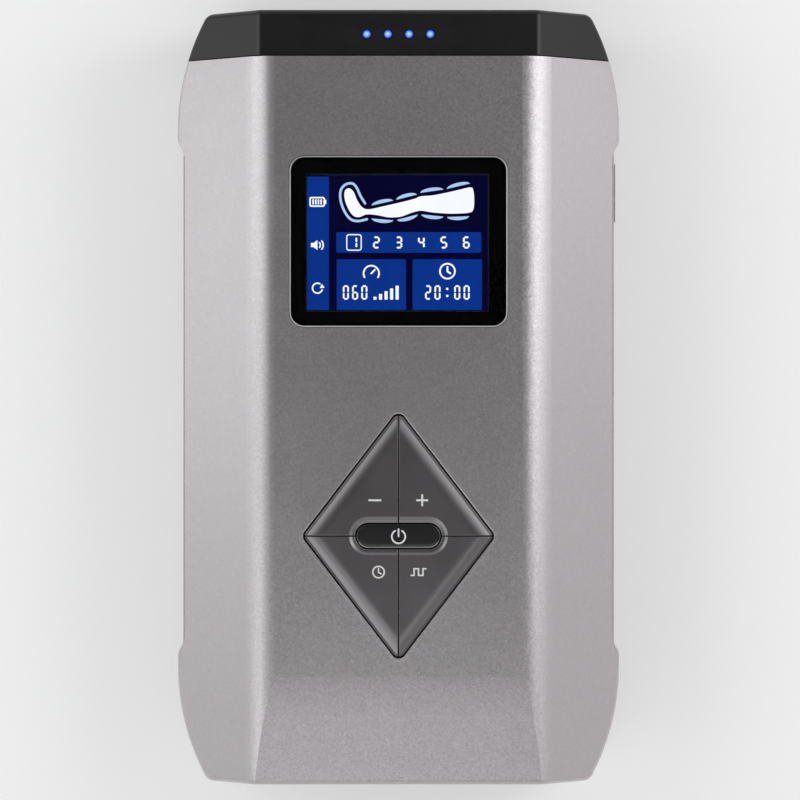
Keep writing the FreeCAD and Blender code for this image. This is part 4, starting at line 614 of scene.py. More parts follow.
def make_finishes(scene):
    """Every finish of the pump, by its slot or by its own name."""
    screen, keys, lamps = scene.pump_screen, scene.pump_keys, scene.pump_lamps
    paint("case_silver", (0.56, 0.532, 0.55), flake=0.0003, lean=0.05, contrast=0.3, mottle=0.26,
          roughness=0.35, metallic=0.94, coat=0.1)
    paint("side_silver", (0.56, 0.545, 0.555), flake=0.0003, lean=0.05, contrast=0.3, mottle=0.2,
          roughness=0.37, metallic=0.92, coat=0.08)
    plastic("cap_black", (0.0065, 0.0052, 0.0054), 0.27, grain=0.00022, depth=0.05, dust=0.03)
    plastic("key_grey", (0.21, 0.2, 0.207), 0.26, grain=0.00016, depth=0.03, metallic=0.85,
            coat=0.25, dust=0.03, tint=0.04)
    plastic("power_black", (0.021, 0.0195, 0.021), 0.17, depth=0.02, dust=0.02, tint=0.06)
    # Painted shade: a near-black for the sheets that stand in for shade in the gaps.
    plastic("shadow_black", (0.0025, 0.0025, 0.0025), 0.6, depth=0.05, wear=0.0, dust=0.0,
            Specular_IOR_Level=0.1)
    # Bright rim: its metal grey stands in for the highlight along the power key's edge.
    plastic("bright_rim", (0.27, 0.27, 0.28), 0.18, metallic=1.0, depth=0.03, dust=0.04)
    plastic("legend_ink", tuple(keys.legend), 0.55, grain=0.00012, depth=0.1, wear=0.0, dust=0.1)
    plastic("ground_glass", (0.62, 0.63, 0.65), 0.32, grain=0.00012, depth=0.15, wear=0.0, dust=0.05,
            metallic=0.6)
    plastic("glass_ink", (0.0012, 0.0011, 0.0014), 0.6, depth=0.02, wear=0.0, dust=0.0,
            Specular_IOR_Level=0.05)
    plastic("foam", (0.03, 0.03, 0.03), 0.95, grain=0.0005, depth=0.8, dust=0.2)
    plastic("inner_black", (0.022, 0.022, 0.023), 0.5, depth=0.2)
    plastic("circuit_green", (0.015, 0.11, 0.045), 0.35, grain=0.0006, depth=0.1, coat=0.3)
    plastic("circuit_parts", (0.018, 0.018, 0.02), 0.4, depth=0.15)
    plastic("steel", (0.55, 0.55, 0.56), 0.26, metallic=1.0, stretch=(1, 12, 1), depth=0.12)
    plastic("lamp", (0.85, 0.85, 0.78), 0.3, depth=0.05)
    plastic("outlet_plastic", (0.035, 0.035, 0.038), 0.42, grain=0.00026, depth=0.2)
    plastic("manifold_grey", (0.6, 0.6, 0.58), 0.45, depth=0.12)
    plastic("valve_steel", (0.3, 0.31, 0.33), 0.35, metallic=0.9, stretch=(10, 1, 1), depth=0.15)
    plastic("motor_steel", (0.5, 0.5, 0.52), 0.28, metallic=1.0, stretch=(1, 14, 1), depth=0.15)
    plastic("copper_rotor", (0.5, 0.22, 0.09), 0.38, metallic=0.9, stretch=(1, 10, 1), depth=0.3)
    plastic("pump_white", (0.72, 0.72, 0.69), 0.42, depth=0.12)
    plastic("black_rubber", (0.018, 0.018, 0.018), 0.72, grain=0.0004, depth=0.45, dust=0.3)
    plastic("cell_wrap", (0.03, 0.13, 0.33), 0.22, grain=0.0005, depth=0.06, coat=0.4)
    plastic("hose_clear", (0.6, 0.61, 0.6), 0.28, grain=0.0004, depth=0.1, Transmission_Weight=0.4)
    tree, bsdf = blank("display_glass", Transmission_Weight=1.0, IOR=1.16, Metallic=0.0,
                       Base_Color=(0.96, 0.97, 0.98, 1))
    film = placed(tree, "Dust film", Amount=GLASS_FILM, Size=GLASS_FILM_SIZE)["Mask"]
    tree.links.new(math_node(tree, "ADD", film, GLASS_ROUGHNESS), bsdf.inputs["Roughness"])
    for name, colour, power in (("screen_field", screen.field, 1.15), ("screen_bar", screen.bar, 1.15),
                                ("screen_ink", screen.ink, 1.1), ("screen_pale", screen.pale, 1.1)):
        lit(name, tuple(colour), screen.dot_pitch, power)
    plastic("screen", (0.02, 0.02, 0.024), 0.3, metallic=0.2)
    make_lamp_finishes(tuple(lamps.glow), lamps.radius)


def make_lamp_finishes(glow, radius):
    """Lit pipe, bright in its middle, and the faint halo on the cap around it, a painted glow where the
    pipe's light would fall.
    """
    for name, inner, outer, core, rim in (
            ("light_pipe", 0.15, 1.05, (glow[0] * 1.5, glow[1] * 1.2, 1.0), (0.03, 0.1, 0.62)),
            # The halo is painted glow: an emissive ring on the cap that stands in for the pipe's light
            # falling there.
            ("painted_lamp_glow", 1.0, 1.5, (0.004, 0.009, 0.07), (0.002, 0.002, 0.006))):
        tree, bsdf = blank(name, Base_Color=(0.004, 0.006, 0.02, 1), Roughness=0.25,
                           Emission_Strength=1.0)
        fade = placed(tree, "Lamp fade", Radius=radius, From=inner, To=outer)["Mask"]
        tree.links.new(mix_colour(tree, fade, rgba(core), rgba(rim)), bsdf.inputs["Emission Color"])


# ---------------------------------------------------------------- pieces

class PUMP_OT_finish_nodes(bpy.types.Operator):
    """Make every finish and give each carried part its own"""
    bl_idname = "pump.finish_nodes"
    bl_label = "Finish the parts"

    def execute(self, context):
        make_effects()
        make_finishes(context.scene)
        for name, thing in NODES.items():
            thing.data.materials[0] = FINISHES[SLOT_OF[name]]
        return {"FINISHED"}


# Points along a quarter key's outline and a quarter of the opening's, and the share round each tip.
KEY_POINTS, OPENING_POINTS = 80, 40
TIP_PART = 1 / 5


def key_outline(sizes, offset, count=KEY_POINTS, split=None):
    """One quarter of the keys' outer outline, taken in by an offset, from the side tip to the top tip."""
    w, h, tip = sizes.half_width, sizes.half_height, sizes.tip_radius
    side = math.hypot(w, h)
    nx, ny = h / side, w / side
    reach = w * h / side - sizes.gap
    base, near = tip - sizes.gap, max(tip - sizes.gap - offset, 0.0)
    split = sizes.split / 2 if split is None else split
    top, right = h - tip / ny, w - tip / nx
    level = reach - offset

    def x_at(y):
        return right + math.sqrt(max(near ** 2 - y ** 2, 0)) if y < near * ny else (level - ny * y) / nx

    def y_at(x):
        return top + math.sqrt(max(near ** 2 - x ** 2, 0)) if x < near * nx else (level - nx * x) / ny

    low_y, low_x = base * ny, base * nx
    bend = round(count * TIP_PART)
    outline = []
    for i in range(bend):
        y = split + (low_y - split) * math.sin(math.pi / 2 * i / bend)
        outline.append((x_at(y), y))
    start, end = Vector((x_at(low_y), low_y)), Vector((low_x, y_at(low_x)))
    straight = count - 2 * bend
    for i in range(straight):
        outline.append(tuple(start.lerp(end, i / (straight - 1))))
    for i in range(1, bend + 1):
        x = split + (low_x - split) * math.cos(math.pi / 2 * i / bend)
        outline.append((x, y_at(x)))
    return outline


def slot_outline(sizes, offset):
    """One quarter of the slot round the power key, let out by an offset."""
    r = sizes.power_height / 2 + sizes.power_gap + offset
    straight = sizes.power_width / 2 - sizes.power_height / 2
    split = sizes.split / 2
    bend = KEY_POINTS // 2
    first = math.asin(split / r)
    outline = []
    for i in range(bend):
        a = first + (math.pi / 2 - first) * i / bend
        outline.append((straight + r * math.cos(a), r * math.sin(a)))
    flat = KEY_POINTS - bend
    for i in range(flat):
        outline.append((straight + (split - straight) * i / (flat - 1), r))
    return outline


# The dish round the power key: how far out, as a share of its width, and how deep, of its drop.
DISH = ((0.0, 1.0), (0.03, 0.95), (0.06, 0.925), (0.2, 0.86), (0.35, 0.785), (0.5, 0.695),
        (0.55, 0.64), (0.6, 0.57), (0.65, 0.495), (0.75, 0.345), (0.85, 0.195), (0.93, 0.08),
        (0.97, 0.025), (1.0, 0.004), (1.04, 0.0), (1.1, 0.0))
# Rows across the flat and down the slope, and the space between the flat's last row and the slope.
FLAT_STEPS, SLOPE_STEPS = 8, 12
FLAT_MARGIN = 0.3 * MM
HOLLOW_WIDTH = 0.28 * MM
# The hollow at the slope's foot: how far out from where it starts, and how deep, in millimetres.
HOLLOW = ((0.08, 0.026), (0.16, 0.046), (0.24, 0.056), (0.34, 0.054))
# The key's rounded outer edge: how far in from it, and how deep, in millimetres.
OUTER_EDGE = ((0.2, 0.02), (0.13, 0.012), (0.07, 0.03), (0.025, 0.075), (0.0, 0.15))


def key_rows(sizes):
    """Rows of a quarter key from the power key's slot to the lip under the face, with heights."""
    top = FACE_Z + sizes.proud
    rows = [(slot_outline(sizes, sizes.dish_width * share), top - sizes.dish_drop * fall)
            for share, fall in DISH]
    inside = key_outline(sizes, sizes.slope_width + FLAT_MARGIN)
    last = rows[-1][0]
    for step in range(1, FLAT_STEPS + 1):
        share = step / FLAT_STEPS
        rows.append(([tuple(Vector(a).lerp(Vector(b), share)) for a, b in zip(last, inside)], top))
    foot = sizes.ledge + HOLLOW_WIDTH
    for step in range(SLOPE_STEPS + 1):
        share = step / SLOPE_STEPS
        offset = sizes.slope_width + (foot - sizes.slope_width) * share
        rows.append((key_outline(sizes, offset), top - sizes.slope_drop * share ** 2))
    level = top - sizes.slope_drop
    for out, fall in HOLLOW:
        rows.append((key_outline(sizes, foot - out * MM), level - fall * MM))
    for inset, fall in OUTER_EDGE:
        rows.append((key_outline(sizes, inset * MM), level - fall * MM))
    reach = key_outline(sizes, -sizes.gap - sizes.lip)
    return rows + [(rows[-1][0], INNER_Z), (reach, INNER_Z), (reach, LIP_Z)]


# The small rounding along the split between two keys.
EASING = 0.11 * MM
EASING_SHARES = (0.3, 0.65, 1.0)


def make_key(name, side_x, side_y, sizes):
    """A quarter key as a closed shell: dressed top, straight sides, and a lip under the face."""
    split = sizes.split / 2

    def eased(x, y, z):
        near = min(x, y) - split
        return z - EASING * (1 - near / EASING) ** 2 if near < EASING else z

    top_rows, low_rows = [], []
    for outline, z in key_rows(sizes):
        first = [nudge(outline[0], outline[1], EASING * share) for share in EASING_SHARES]
        last = [nudge(outline[-1], outline[-2], EASING * share) for share in EASING_SHARES[::-1]]
        spread = [outline[0]] + first + outline[1:-1] + last + [outline[-1]]
        top_rows.append([(x, y, eased(x, y, z)) for x, y in spread])
        low_rows.append([(x, y, LIP_Z) for x, y in spread])
    shape = Shape()
    for rows in (top_rows, low_rows, [top_rows[0], low_rows[0]], [top_rows[-1], low_rows[-1]]):
        shape.tube(rows, close=False)
    for end in (0, -1):
        shape.tube([[row[end] for row in rows] for rows in (top_rows, low_rows)], close=False)
    shape.verts = [(side_x * x, KEYS_Y + side_y * y, z) for x, y, z in shape.verts]
    piece(name + "_cap", shape, "key_grey", name, replaces=(name,))


def nudge(place, towards, distance):
    """A point a short way from a place towards another."""
    place, towards = Vector(place), Vector(towards)
    gap = (towards - place).length
    return tuple(place.lerp(towards, min(distance / gap, 0.5) if gap else 0))


def diamond(sizes, offset):
    """The whole outline of the key opening, taken in by an offset from the keys' outer edge."""
    quarter = key_outline(sizes, offset, OPENING_POINTS, 0.0)
    turned = [(-x, y) for x, y in reversed(quarter)]
    half = quarter + turned[1:]
    low = [(-x, -y) for x, y in half]
    return [(x, KEYS_Y + y) for x, y in half + low[1:-1]]


# Sections of the opening's liner of painted shade and of its lip: how far out from its wall and above the
# face, in millimetres.
SHADE_LINER = ((-0.1, -1.1), (-0.1, -0.1), (-0.03, 0.0), (0.03, 0.012), (0.15, 0.012), (0.17, -0.05),
         (0.0, -0.05), (0.0, -1.1), (-0.1, -1.1))
LIP = ((0.15, -0.05), (0.16, -0.008), (0.18, 0.004), (0.28, 0.024), (0.38, 0.04), (0.48, 0.045),
       (0.6, 0.043), (0.85, 0.03), (1.1, 0.015), (1.35, 0.0), (1.36, -0.05), (0.15, -0.05))
SHADE_LINER_CLEARANCE = 0.02 * MM
LIP_FOOT_SHARE = 0.3
LIP_CHANGE = 8 * MM


def line_opening(sizes):
    """A black liner of painted shade in the key opening, whose flange on the face widens the dark gap,
    and the soft lip outside it, fuller on the head side.
    """
    wall = SHADE_LINER_CLEARANCE - sizes.gap

    def height(y, rise, foot_share):
        head = min(max((y - KEYS_Y) / LIP_CHANGE + 0.5, 0.0), 1.0)
        return FACE_Z + rise * MM * (1.0 if rise < 0 else foot_share + (1 - foot_share) * head)

    def drawn(section, foot_share=1.0):
        return Shape().tube([[(x, y, height(y, rise, foot_share))
                              for x, y in diamond(sizes, wall - out * MM)] for out, rise in section])

    # Painted shade: a black sheet in the gap and along its edge on the face.
    piece("key_opening_shade_liner", drawn(SHADE_LINER), "shadow_black", "case", smooth=False)
    piece("key_opening_lip", drawn(LIP, LIP_FOOT_SHARE), "case_silver", "case")


class PUMP_OT_make_keys(bpy.types.Operator):
    """Make the four quarter keys with their soft slopes, and dress their opening"""
    bl_idname = "pump.make_keys"
    bl_label = "Make the quarter keys"

    def execute(self, context):
        sizes = context.scene.pump_keys
        for name, side_x, side_y in (("pressure_down_key", -1, 1), ("pressure_up_key", 1, 1),
                                     ("time_key", -1, -1), ("mode_key", 1, -1)):
            make_key(name, side_x, side_y, sizes)
        line_opening(sizes)
        return {"FINISHED"}


# The bright rim, a metal-grey ring that stands in for the highlight along the power key's edge: in from
# the slot, its outer and inner wall, and its crest as (in, down) in millimetres.
RIM_OUTER, RIM_INNER = 0.32 * MM, 0.6 * MM
RIM_CREST = ((0.0, 0.07), (0.015, 0.05), (0.1, 0.033), (0.2, 0.017), (0.28, 0.005))
# The seat is painted shade: a black floor in the gap outside the rim, this far below the crest.
SHADE_SEAT_DEPTH = 1.5 * MM
# The power key inside the rim, as (in, up) from its edge and the carried key's top, in millimetres.
POWER_CLEARANCE = 0.06 * MM
POWER_DOME = ((0.0, -2.4), (0.0, -0.09), (0.015, -0.07), (0.15, -0.045), (0.35, -0.015), (0.6, 0.005),
              (1.0, 0.02), (1.8, 0.03))


def stadium_rows(sizes, section):
    """Loops of the power key's slot outline for a section of (inset, height) pairs."""
    return [raised(stadium(0, KEYS_Y, sizes.power_width - 2 * inset,
                           sizes.power_height - 2 * inset), z) for inset, z in section]


class PUMP_OT_make_power_key(bpy.types.Operator):
    """Make the glossy power key and the bright rim round it, whose metal grey stands in for the highlight
    on the key's edge
    """
    bl_idname = "pump.make_power_key"
    bl_label = "Make the power key"

    def execute(self, context):
        sizes = context.scene.pump_keys
        foot, crest = RIM_LOW.z, RIM_HIGH.z
        section = [(RIM_OUTER, foot), *((RIM_OUTER + inward * MM, crest - down * MM)
                                        for inward, down in RIM_CREST),
                   (RIM_INNER, foot), (RIM_OUTER, foot)]
        piece("power_rim", Shape().tube(stadium_rows(sizes, section)), "bright_rim", "case",
              replaces=("power_rim_ring",))
        # A black floor of painted shade in the gap between the slot and the rim.
        top = crest - SHADE_SEAT_DEPTH
        section = [(0, foot), (0, top), (RIM_OUTER, top), (RIM_OUTER, foot), (0, foot)]
        piece("power_rim_shade_seat", Shape().tube(stadium_rows(sizes, section)), "shadow_black", "case",
              smooth=False)
        edge = RIM_INNER + POWER_CLEARANCE
        section = [(edge + inward * MM, POWER_TOP + up * MM) for inward, up in POWER_DOME]
        piece("power_key_cap", Shape().loops(stadium_rows(sizes, section)), "power_black",
              "power_key", replaces=("power_key",))
        return {"FINISHED"}


INK_THICK = 0.03 * MM


def mark(name, outlines, low, body, finish="legend_ink", thick=INK_THICK,
         rings=()):
    """A thin printed mark made of plates, and of rings between two outlines."""
    shape = Shape()
    for outline in outlines:
        shape.plate(outline, low, low + thick)
    for outer, inner in rings:
        shape.ring(outer, inner, low, low + thick)
    piece(name, shape, finish, body, smooth=False)


def open_ring(cx, cy, radius, width, start, end, count=31):
    """A round stroke from one angle to another."""
    return ribbon(arc(cx, cy, radius, start, end, count), width)


def moved(cx, cy, points):
    """Points in millimetres, moved to a place in metres."""
    return [(cx + x * MM, cy + y * MM) for x, y in points]


# Symbols on the keys: their places from the keys' middle, and their strokes.
SIGN_X, SIGN_Y = 6.4 * MM, 9.7 * MM
CLOCK_X, CLOCK_RADIUS = -5.4 * MM, 1.75 * MM
WAVE_X = 5.4 * MM
POWER_SIGN_DROP = 0.15 * MM
MINUS = ((-1.55, 0.0), (1.55, 0.0))
PLUS = ((0.25, 1.6), (-0.25, 1.6), (-0.25, 0.25), (-1.6, 0.25), (-1.6, -0.25), (-0.25, -0.25),
        (-0.25, -1.6), (0.25, -1.6), (0.25, -0.25), (1.6, -0.25), (1.6, 0.25), (0.25, 0.25))
CLOCK_HANDS = ((0.0, 1.0), (0.0, -0.1), (0.75, -0.5))
WAVE = ((-2.0, -0.9), (-1.2, -0.9), (-1.2, 0.9), (0.0, 0.9), (0.0, -0.9), (1.2, -0.9), (1.2, 0.9),
        (2.0, 0.9))
POWER_STROKE = ((0.0, 0.1), (0.0, 2.0))
MINUS_BOLD, HANDS_BOLD, WAVE_BOLD = 0.5 * MM, 0.36 * MM, 0.4 * MM
CLOCK_BOLD, POWER_RING_BOLD, POWER_STROKE_BOLD = 0.4 * MM, 0.44 * MM, 0.46 * MM
POWER_RING_RADIUS = 1.82 * MM


class PUMP_OT_print_legends(bpy.types.Operator):
    """Print plain symbols on the keys: minus, plus, clock, pattern and power"""
    bl_idname = "pump.print_legends"
    bl_label = "Print the key symbols"

    def execute(self, context):
        sizes = context.scene.pump_keys
        top = FACE_Z + sizes.proud
        high, low = KEYS_Y + SIGN_Y, KEYS_Y - SIGN_Y
        mark("minus_symbol", [ribbon(moved(-SIGN_X, high, MINUS), MINUS_BOLD)],
             top, "pressure_down_key")
        mark("plus_symbol", [moved(SIGN_X, high, PLUS)], top, "pressure_up_key")
        mark("clock_symbol", [ribbon(moved(CLOCK_X, low, CLOCK_HANDS), HANDS_BOLD)],
             top, "time_key",
             rings=[(circle(CLOCK_X, low, CLOCK_RADIUS),
                     circle(CLOCK_X, low, CLOCK_RADIUS - CLOCK_BOLD))])
        mark("pattern_symbol", [ribbon(moved(WAVE_X, low, WAVE), WAVE_BOLD)], top, "mode_key")
        middle = KEYS_Y - POWER_SIGN_DROP
        mark("power_symbol",
             [open_ring(0, middle, POWER_RING_RADIUS, POWER_RING_BOLD, 120, 420),
              ribbon(moved(0, middle, POWER_STROKE), POWER_STROKE_BOLD)],
             POWER_TOP + INK_THICK, "power_key")
        return {"FINISHED"}


# The cover glass: its ground edge, as (in, up) from the glass's side and top in millimetres, and the
# printed border behind it.
GROUND_EDGE = 0.34 * MM
GROUND_SECTION = ((0.0, -0.2), (0.06, -0.06), (0.2, 0.0), (0.32, -0.01))
GLASS_EASING = 0.05 * MM
BORDER_MARGIN, BORDER_CORNER = 0.8 * MM, 0.5 * MM
BORDER_CLEARANCE, BORDER_THICK = 0.01 * MM, 0.02 * MM
CORNER_POINTS = 13


class PUMP_OT_make_display(bpy.types.Operator):
    """Make the cover glass with its ground edge and black border, and light the screen behind it"""
    bl_idname = "pump.make_display"
    bl_label = "Make the display"

    def execute(self, context):
        sizes = context.scene.pump_screen
        width = GLASS_HIGH.x - GLASS_LOW.x
        height = GLASS_HIGH.y - GLASS_LOW.y
        low, high = GLASS_LOW.z, GLASS_HIGH.z

        def outline(inset):
            return rounded_rectangle(GLASS_MIDDLE.x, GLASS_MIDDLE.y, width - 2 * inset,
                                     height - 2 * inset, sizes.corner - inset, CORNER_POINTS)

        def rows(section):
            return [raised(outline(inset), z) for inset, z in section]

        glass = Shape().loops(rows([(GROUND_EDGE, low + GLASS_EASING),
                                    (GROUND_EDGE, high - GLASS_EASING),
                                    (GROUND_EDGE + GLASS_EASING, high)]))
        piece("display_cover", glass, "display_glass", "case",
              replaces=("display_lens",))
        section = [(inward * MM, high + up * MM) for inward, up in GROUND_SECTION]
        rim = Shape().tube(rows([(0, low)] + section + [(section[-1][0], low), (0, low)]))
        piece("display_cover_edge", rim, "ground_glass", "case")
        x, y = GLASS_MIDDLE.x - sizes.shift, GLASS_MIDDLE.y - sizes.shift
        window = rounded_rectangle(x, y, sizes.width + BORDER_MARGIN, sizes.height + BORDER_MARGIN,
                                   BORDER_CORNER, CORNER_POINTS)
        border = Shape().ring(outline(GROUND_EDGE + BORDER_CLEARANCE), window, low, low + BORDER_THICK)
        piece("display_border", border, "glass_ink", "case", smooth=False)
        draw_picture(sizes, x, y)
        return {"FINISHED"}


# A seven-segment numeral on a unit field, and the segments that each sign lights.
SEGMENTS = {
    "a": ((0.0, 1.0), (1.0, 1.0)), "b": ((1.0, 1.0), (1.0, 0.5)), "c": ((1.0, 0.5), (1.0, 0.0)),
    "d": ((0.0, 0.0), (1.0, 0.0)), "e": ((0.0, 0.5), (0.0, 0.0)), "f": ((0.0, 1.0), (0.0, 0.5)),
    "g": ((0.0, 0.5), (1.0, 0.5)),
}
DIGITS = {"0": "abcdef", "1": "bc", "2": "abged", "3": "abgcd", "4": "fgbc", "5": "afgcd",
          "6": "afgedc"}
SEGMENT_GAP, SEGMENT_TIP = 0.12, 0.42
SMALL_DIGIT, LARGE_DIGIT = (1.35 * MM, 2.8 * MM, 0.5 * MM), (1.2 * MM, 3.45 * MM, 0.46 * MM)


def digit(sign, x, y, size):
    """Plates of a seven-segment numeral of a (width, height, stroke), from its lower left corner."""
    width, height, bold = size
    plates = []
    for name in DIGITS[sign]:
        (ax, ay), (bx, by) = SEGMENTS[name]
        a, b = Vector((x + ax * width, y + ay * height)), Vector((x + bx * width, y + by * height))
        along = (b - a).normalized()
        side = Vector((-along.y, along.x)) * bold / 2
        a, b = a + along * bold * SEGMENT_GAP, b - along * bold * SEGMENT_GAP
        tip = along * bold * SEGMENT_TIP
        plates.append([tuple(p) for p in (a, a + tip - side, b - tip - side, b, b - tip + side,
                                          a + tip + side)])
    return plates


# Layout of the picture in millimetres from its lower left corner.
# Panels: name, finish, left, foot, width, height, corner radius and layer.
PANELS = (("screen_field", "screen_field", 0, 0, 48.96, 36.72, 0.1, 0),
          ("screen_side_bar", "screen_bar", 0, 0.15, 5.9, 36.2, 0.1, 1),
          ("screen_pattern_bar", "screen_bar", 7.9, 15.7, 39.3, 5.6, 0.4, 1),
          ("screen_left_tile", "screen_bar", 8.0, 0.15, 18.8, 13.8, 0.3, 1),
          ("screen_right_tile", "screen_bar", 28.6, 0.15, 18.8, 13.8, 0.3, 1))
PATTERN_SIGNS = [(sign, 12.0 + 6.1 * index, 17.1) for index, sign in enumerate("123456")]
PRESSURE_SIGNS = [(sign, 9.9 + 2.5 * index, 3.2) for index, sign in enumerate("060")]
TIME_SIGNS = [("2", 32.2, 3.2), ("0", 34.75, 3.2), ("0", 40.1, 3.2), ("0", 42.65, 3.2)]
COLON = ((38.0, 4.0), (38.0, 5.9))
COLON_RADIUS = 0.33 * MM
# The frame round the chosen pattern: outer and inner width, height and corner radius.
CHOSEN_PLACE, CHOSEN_FRAME = (12.7, 18.5), ((4.2, 4.5, 0.7), (3.6, 3.9, 0.4))
# The row of rising bars beside the pressure.
BARS_LEFT, BARS_FOOT, BARS_PITCH = 18.4, 2.98, 1.5
BAR_HEIGHTS = (0.8, 1.55, 2.3, 3.05, 3.8)
BAR_WIDTH, BAR_CORNER = 0.85, 0.15
CLOCK_PLACE, CLOCK_SIGN = (38.05, 10.7), ((0.0, 1.15), (0.0, -0.05), (0.8, -0.6))
CLOCK_OUTER, CLOCK_INNER, CLOCK_STROKE = 2.25 * MM, 1.8 * MM, 0.5 * MM
GAUGE_PLACE, GAUGE_NEEDLE = (17.4, 10.1), ((0.0, 0.0), (0.95, 1.0))
GAUGE_RADIUS, GAUGE_STROKE, NEEDLE_STROKE = 2.1 * MM, 0.45 * MM, 0.46 * MM
# One layer of the picture, and the foot of its signs.
SHEET = 0.02 * MM
INK_Z = SCREEN_Z + 2 * SHEET


def small_box(cx, cy, width, height, radius, count=5):
    """A rounded rectangle in millimetres about a place in metres."""
    return rounded_rectangle(cx, cy, width * MM, height * MM, radius * MM, count)


def light_sign(name, outlines, rings=(), finish="screen_ink"):
    """A lit sign in the picture."""
    mark(name, outlines, INK_Z, "case", finish, SHEET, rings)


def draw_picture(sizes, x, y):
    """The picture on the screen: side bar, field, sleeve, pattern bar and two tiles."""
    left, foot = x - sizes.width / 2, y - sizes.height / 2

    def at(px, py):
        return left + px * MM, foot + py * MM

    def numerals(signs, size):
        return [plate for sign, px, py in signs for plate in digit(sign, *at(px, py), size)]

    for name, finish, px, py, width, height, radius, layer in PANELS:
        outline = small_box(*at(px + width / 2, py + height / 2), width, height, radius)
        mark(name, [outline], SCREEN_Z + layer * SHEET, "case", finish, SHEET)
    draw_side_icons(at)
    draw_sleeve(at)
    chosen = [small_box(*at(*CHOSEN_PLACE), *box) for box in CHOSEN_FRAME]
    light_sign("screen_patterns", numerals(PATTERN_SIGNS, SMALL_DIGIT), [chosen])
    bars = [small_box(*at(BARS_LEFT + BARS_PITCH * step, BARS_FOOT + height / 2),
                      BAR_WIDTH, height, BAR_CORNER, 4) for step, height in enumerate(BAR_HEIGHTS)]
    light_sign("screen_pressure", numerals(PRESSURE_SIGNS, LARGE_DIGIT) + bars)
    colon = [circle(*at(*place), COLON_RADIUS, 16) for place in COLON]
    light_sign("screen_time", numerals(TIME_SIGNS, LARGE_DIGIT) + colon)
    cx, cy = at(*CLOCK_PLACE)
    light_sign("screen_clock", [ribbon(moved(cx, cy, CLOCK_SIGN), CLOCK_STROKE)],
               [(circle(cx, cy, CLOCK_OUTER), circle(cx, cy, CLOCK_INNER))])
    cx, cy = at(*GAUGE_PLACE)
    light_sign("screen_gauge", [open_ring(cx, cy, GAUGE_RADIUS, GAUGE_STROKE, -30, 210),
                                ribbon(moved(cx, cy, GAUGE_NEEDLE), NEEDLE_STROKE)])


# Signs in the side bar.
BATTERY_PLACE, BATTERY_SHELL = (2.7, 29.5), ((4.2, 2.7, 0.5), (3.4, 1.9, 0.2))
CHARGE_PLACES, CHARGE_BAR = (-1.08, -0.36, 0.36, 1.08), (0.42, 1.4, 0.05)
KNOB_PLACE, KNOB = 2.28, (0.42, 1.2, 0.1)
SPEAKER_PLACE = (2.5, 17.8)
HORN = ((-1.5, -0.55), (-0.8, -0.55), (0.3, -1.35), (0.3, 1.35), (-0.8, 0.55), (-1.5, 0.55))
SOUND_RADII, SOUND_STROKE, SOUND_SPREAD = (1.05 * MM, 1.85 * MM), 0.36 * MM, 38
REPEAT_PLACE, REPEAT_RADIUS, REPEAT_STROKE = (2.8, 6.1), 1.35 * MM, 0.4 * MM
REPEAT_TIP = ((0.6, 0.0), (1.2, 1.15), (1.95, 0.1))


def draw_side_icons(at):
    """Battery, loudspeaker and repeat signs in the side bar."""
    cx, cy = at(*BATTERY_PLACE)
    bars = [small_box(cx + place * MM, cy, *CHARGE_BAR, 3) for place in CHARGE_PLACES]
    knob = small_box(cx + KNOB_PLACE * MM, cy, *KNOB, 3)
    light_sign("screen_battery", bars + [knob], [[small_box(cx, cy, *box) for box in BATTERY_SHELL]])
    cx, cy = at(*SPEAKER_PLACE)
    waves = [open_ring(cx, cy, radius, SOUND_STROKE, -SOUND_SPREAD, SOUND_SPREAD)
             for radius in SOUND_RADII]
    light_sign("screen_loudspeaker", [moved(cx, cy, HORN)] + waves)
    cx, cy = at(*REPEAT_PLACE)
    light_sign("screen_repeat", [open_ring(cx, cy, REPEAT_RADIUS, REPEAT_STROKE, 60, 340),
                                 moved(cx, cy, REPEAT_TIP)])


# The leg's outline from its toes round its sole, and the lines of the air chambers along it.
LEG = ((11.3, 33.2), (10.2, 32.4), (10.2, 30.2), (11.2, 27.5), (12.6, 25.7), (14.2, 25.4),
       (16.2, 26.1), (19.0, 25.9), (22.2, 25.3), (25.4, 25.5), (28.2, 26.5), (30.8, 27.1),
       (34.4, 26.6), (39.4, 26.3), (44.0, 26.6), (45.1, 27.6), (45.3, 30.2), (45.0, 32.8),
       (44.0, 33.4), (39.2, 32.3), (34.2, 31.3), (30.8, 31.0), (29.0, 30.3), (24.6, 29.2),
       (20.2, 28.2), (16.8, 27.5), (15.0, 28.0), (13.6, 29.9), (12.6, 32.2))
CHAMBERS_ABOVE = (((17.4, 28.5), (23.4, 29.85)), ((24.1, 30.05), (29.8, 31.5)),
                  ((30.6, 31.95), (37.0, 32.85)), ((37.8, 33.0), (44.2, 34.5)))
CHAMBERS_BELOW = (((17.4, 25.0), (23.4, 24.5)), ((24.3, 24.6), (30.0, 26.1)),
                  ((30.9, 26.1), (37.0, 25.5)), ((37.9, 25.4), (44.0, 25.6)))
CHAMBER_BULGE, CHAMBER_STEPS = 0.95, 12
BOOT = ((15.7, 29.1), (14.4, 31.2), (13.4, 33.4), (12.2, 34.5), (10.4, 34.2), (9.1, 32.6),
        (9.1, 29.8), (10.2, 26.8), (11.8, 24.8), (13.8, 24.3), (16.2, 24.8))
BOOT_STROKE = 0.66 * MM
LEG_STEPS, BOOT_STEPS = 6, 5


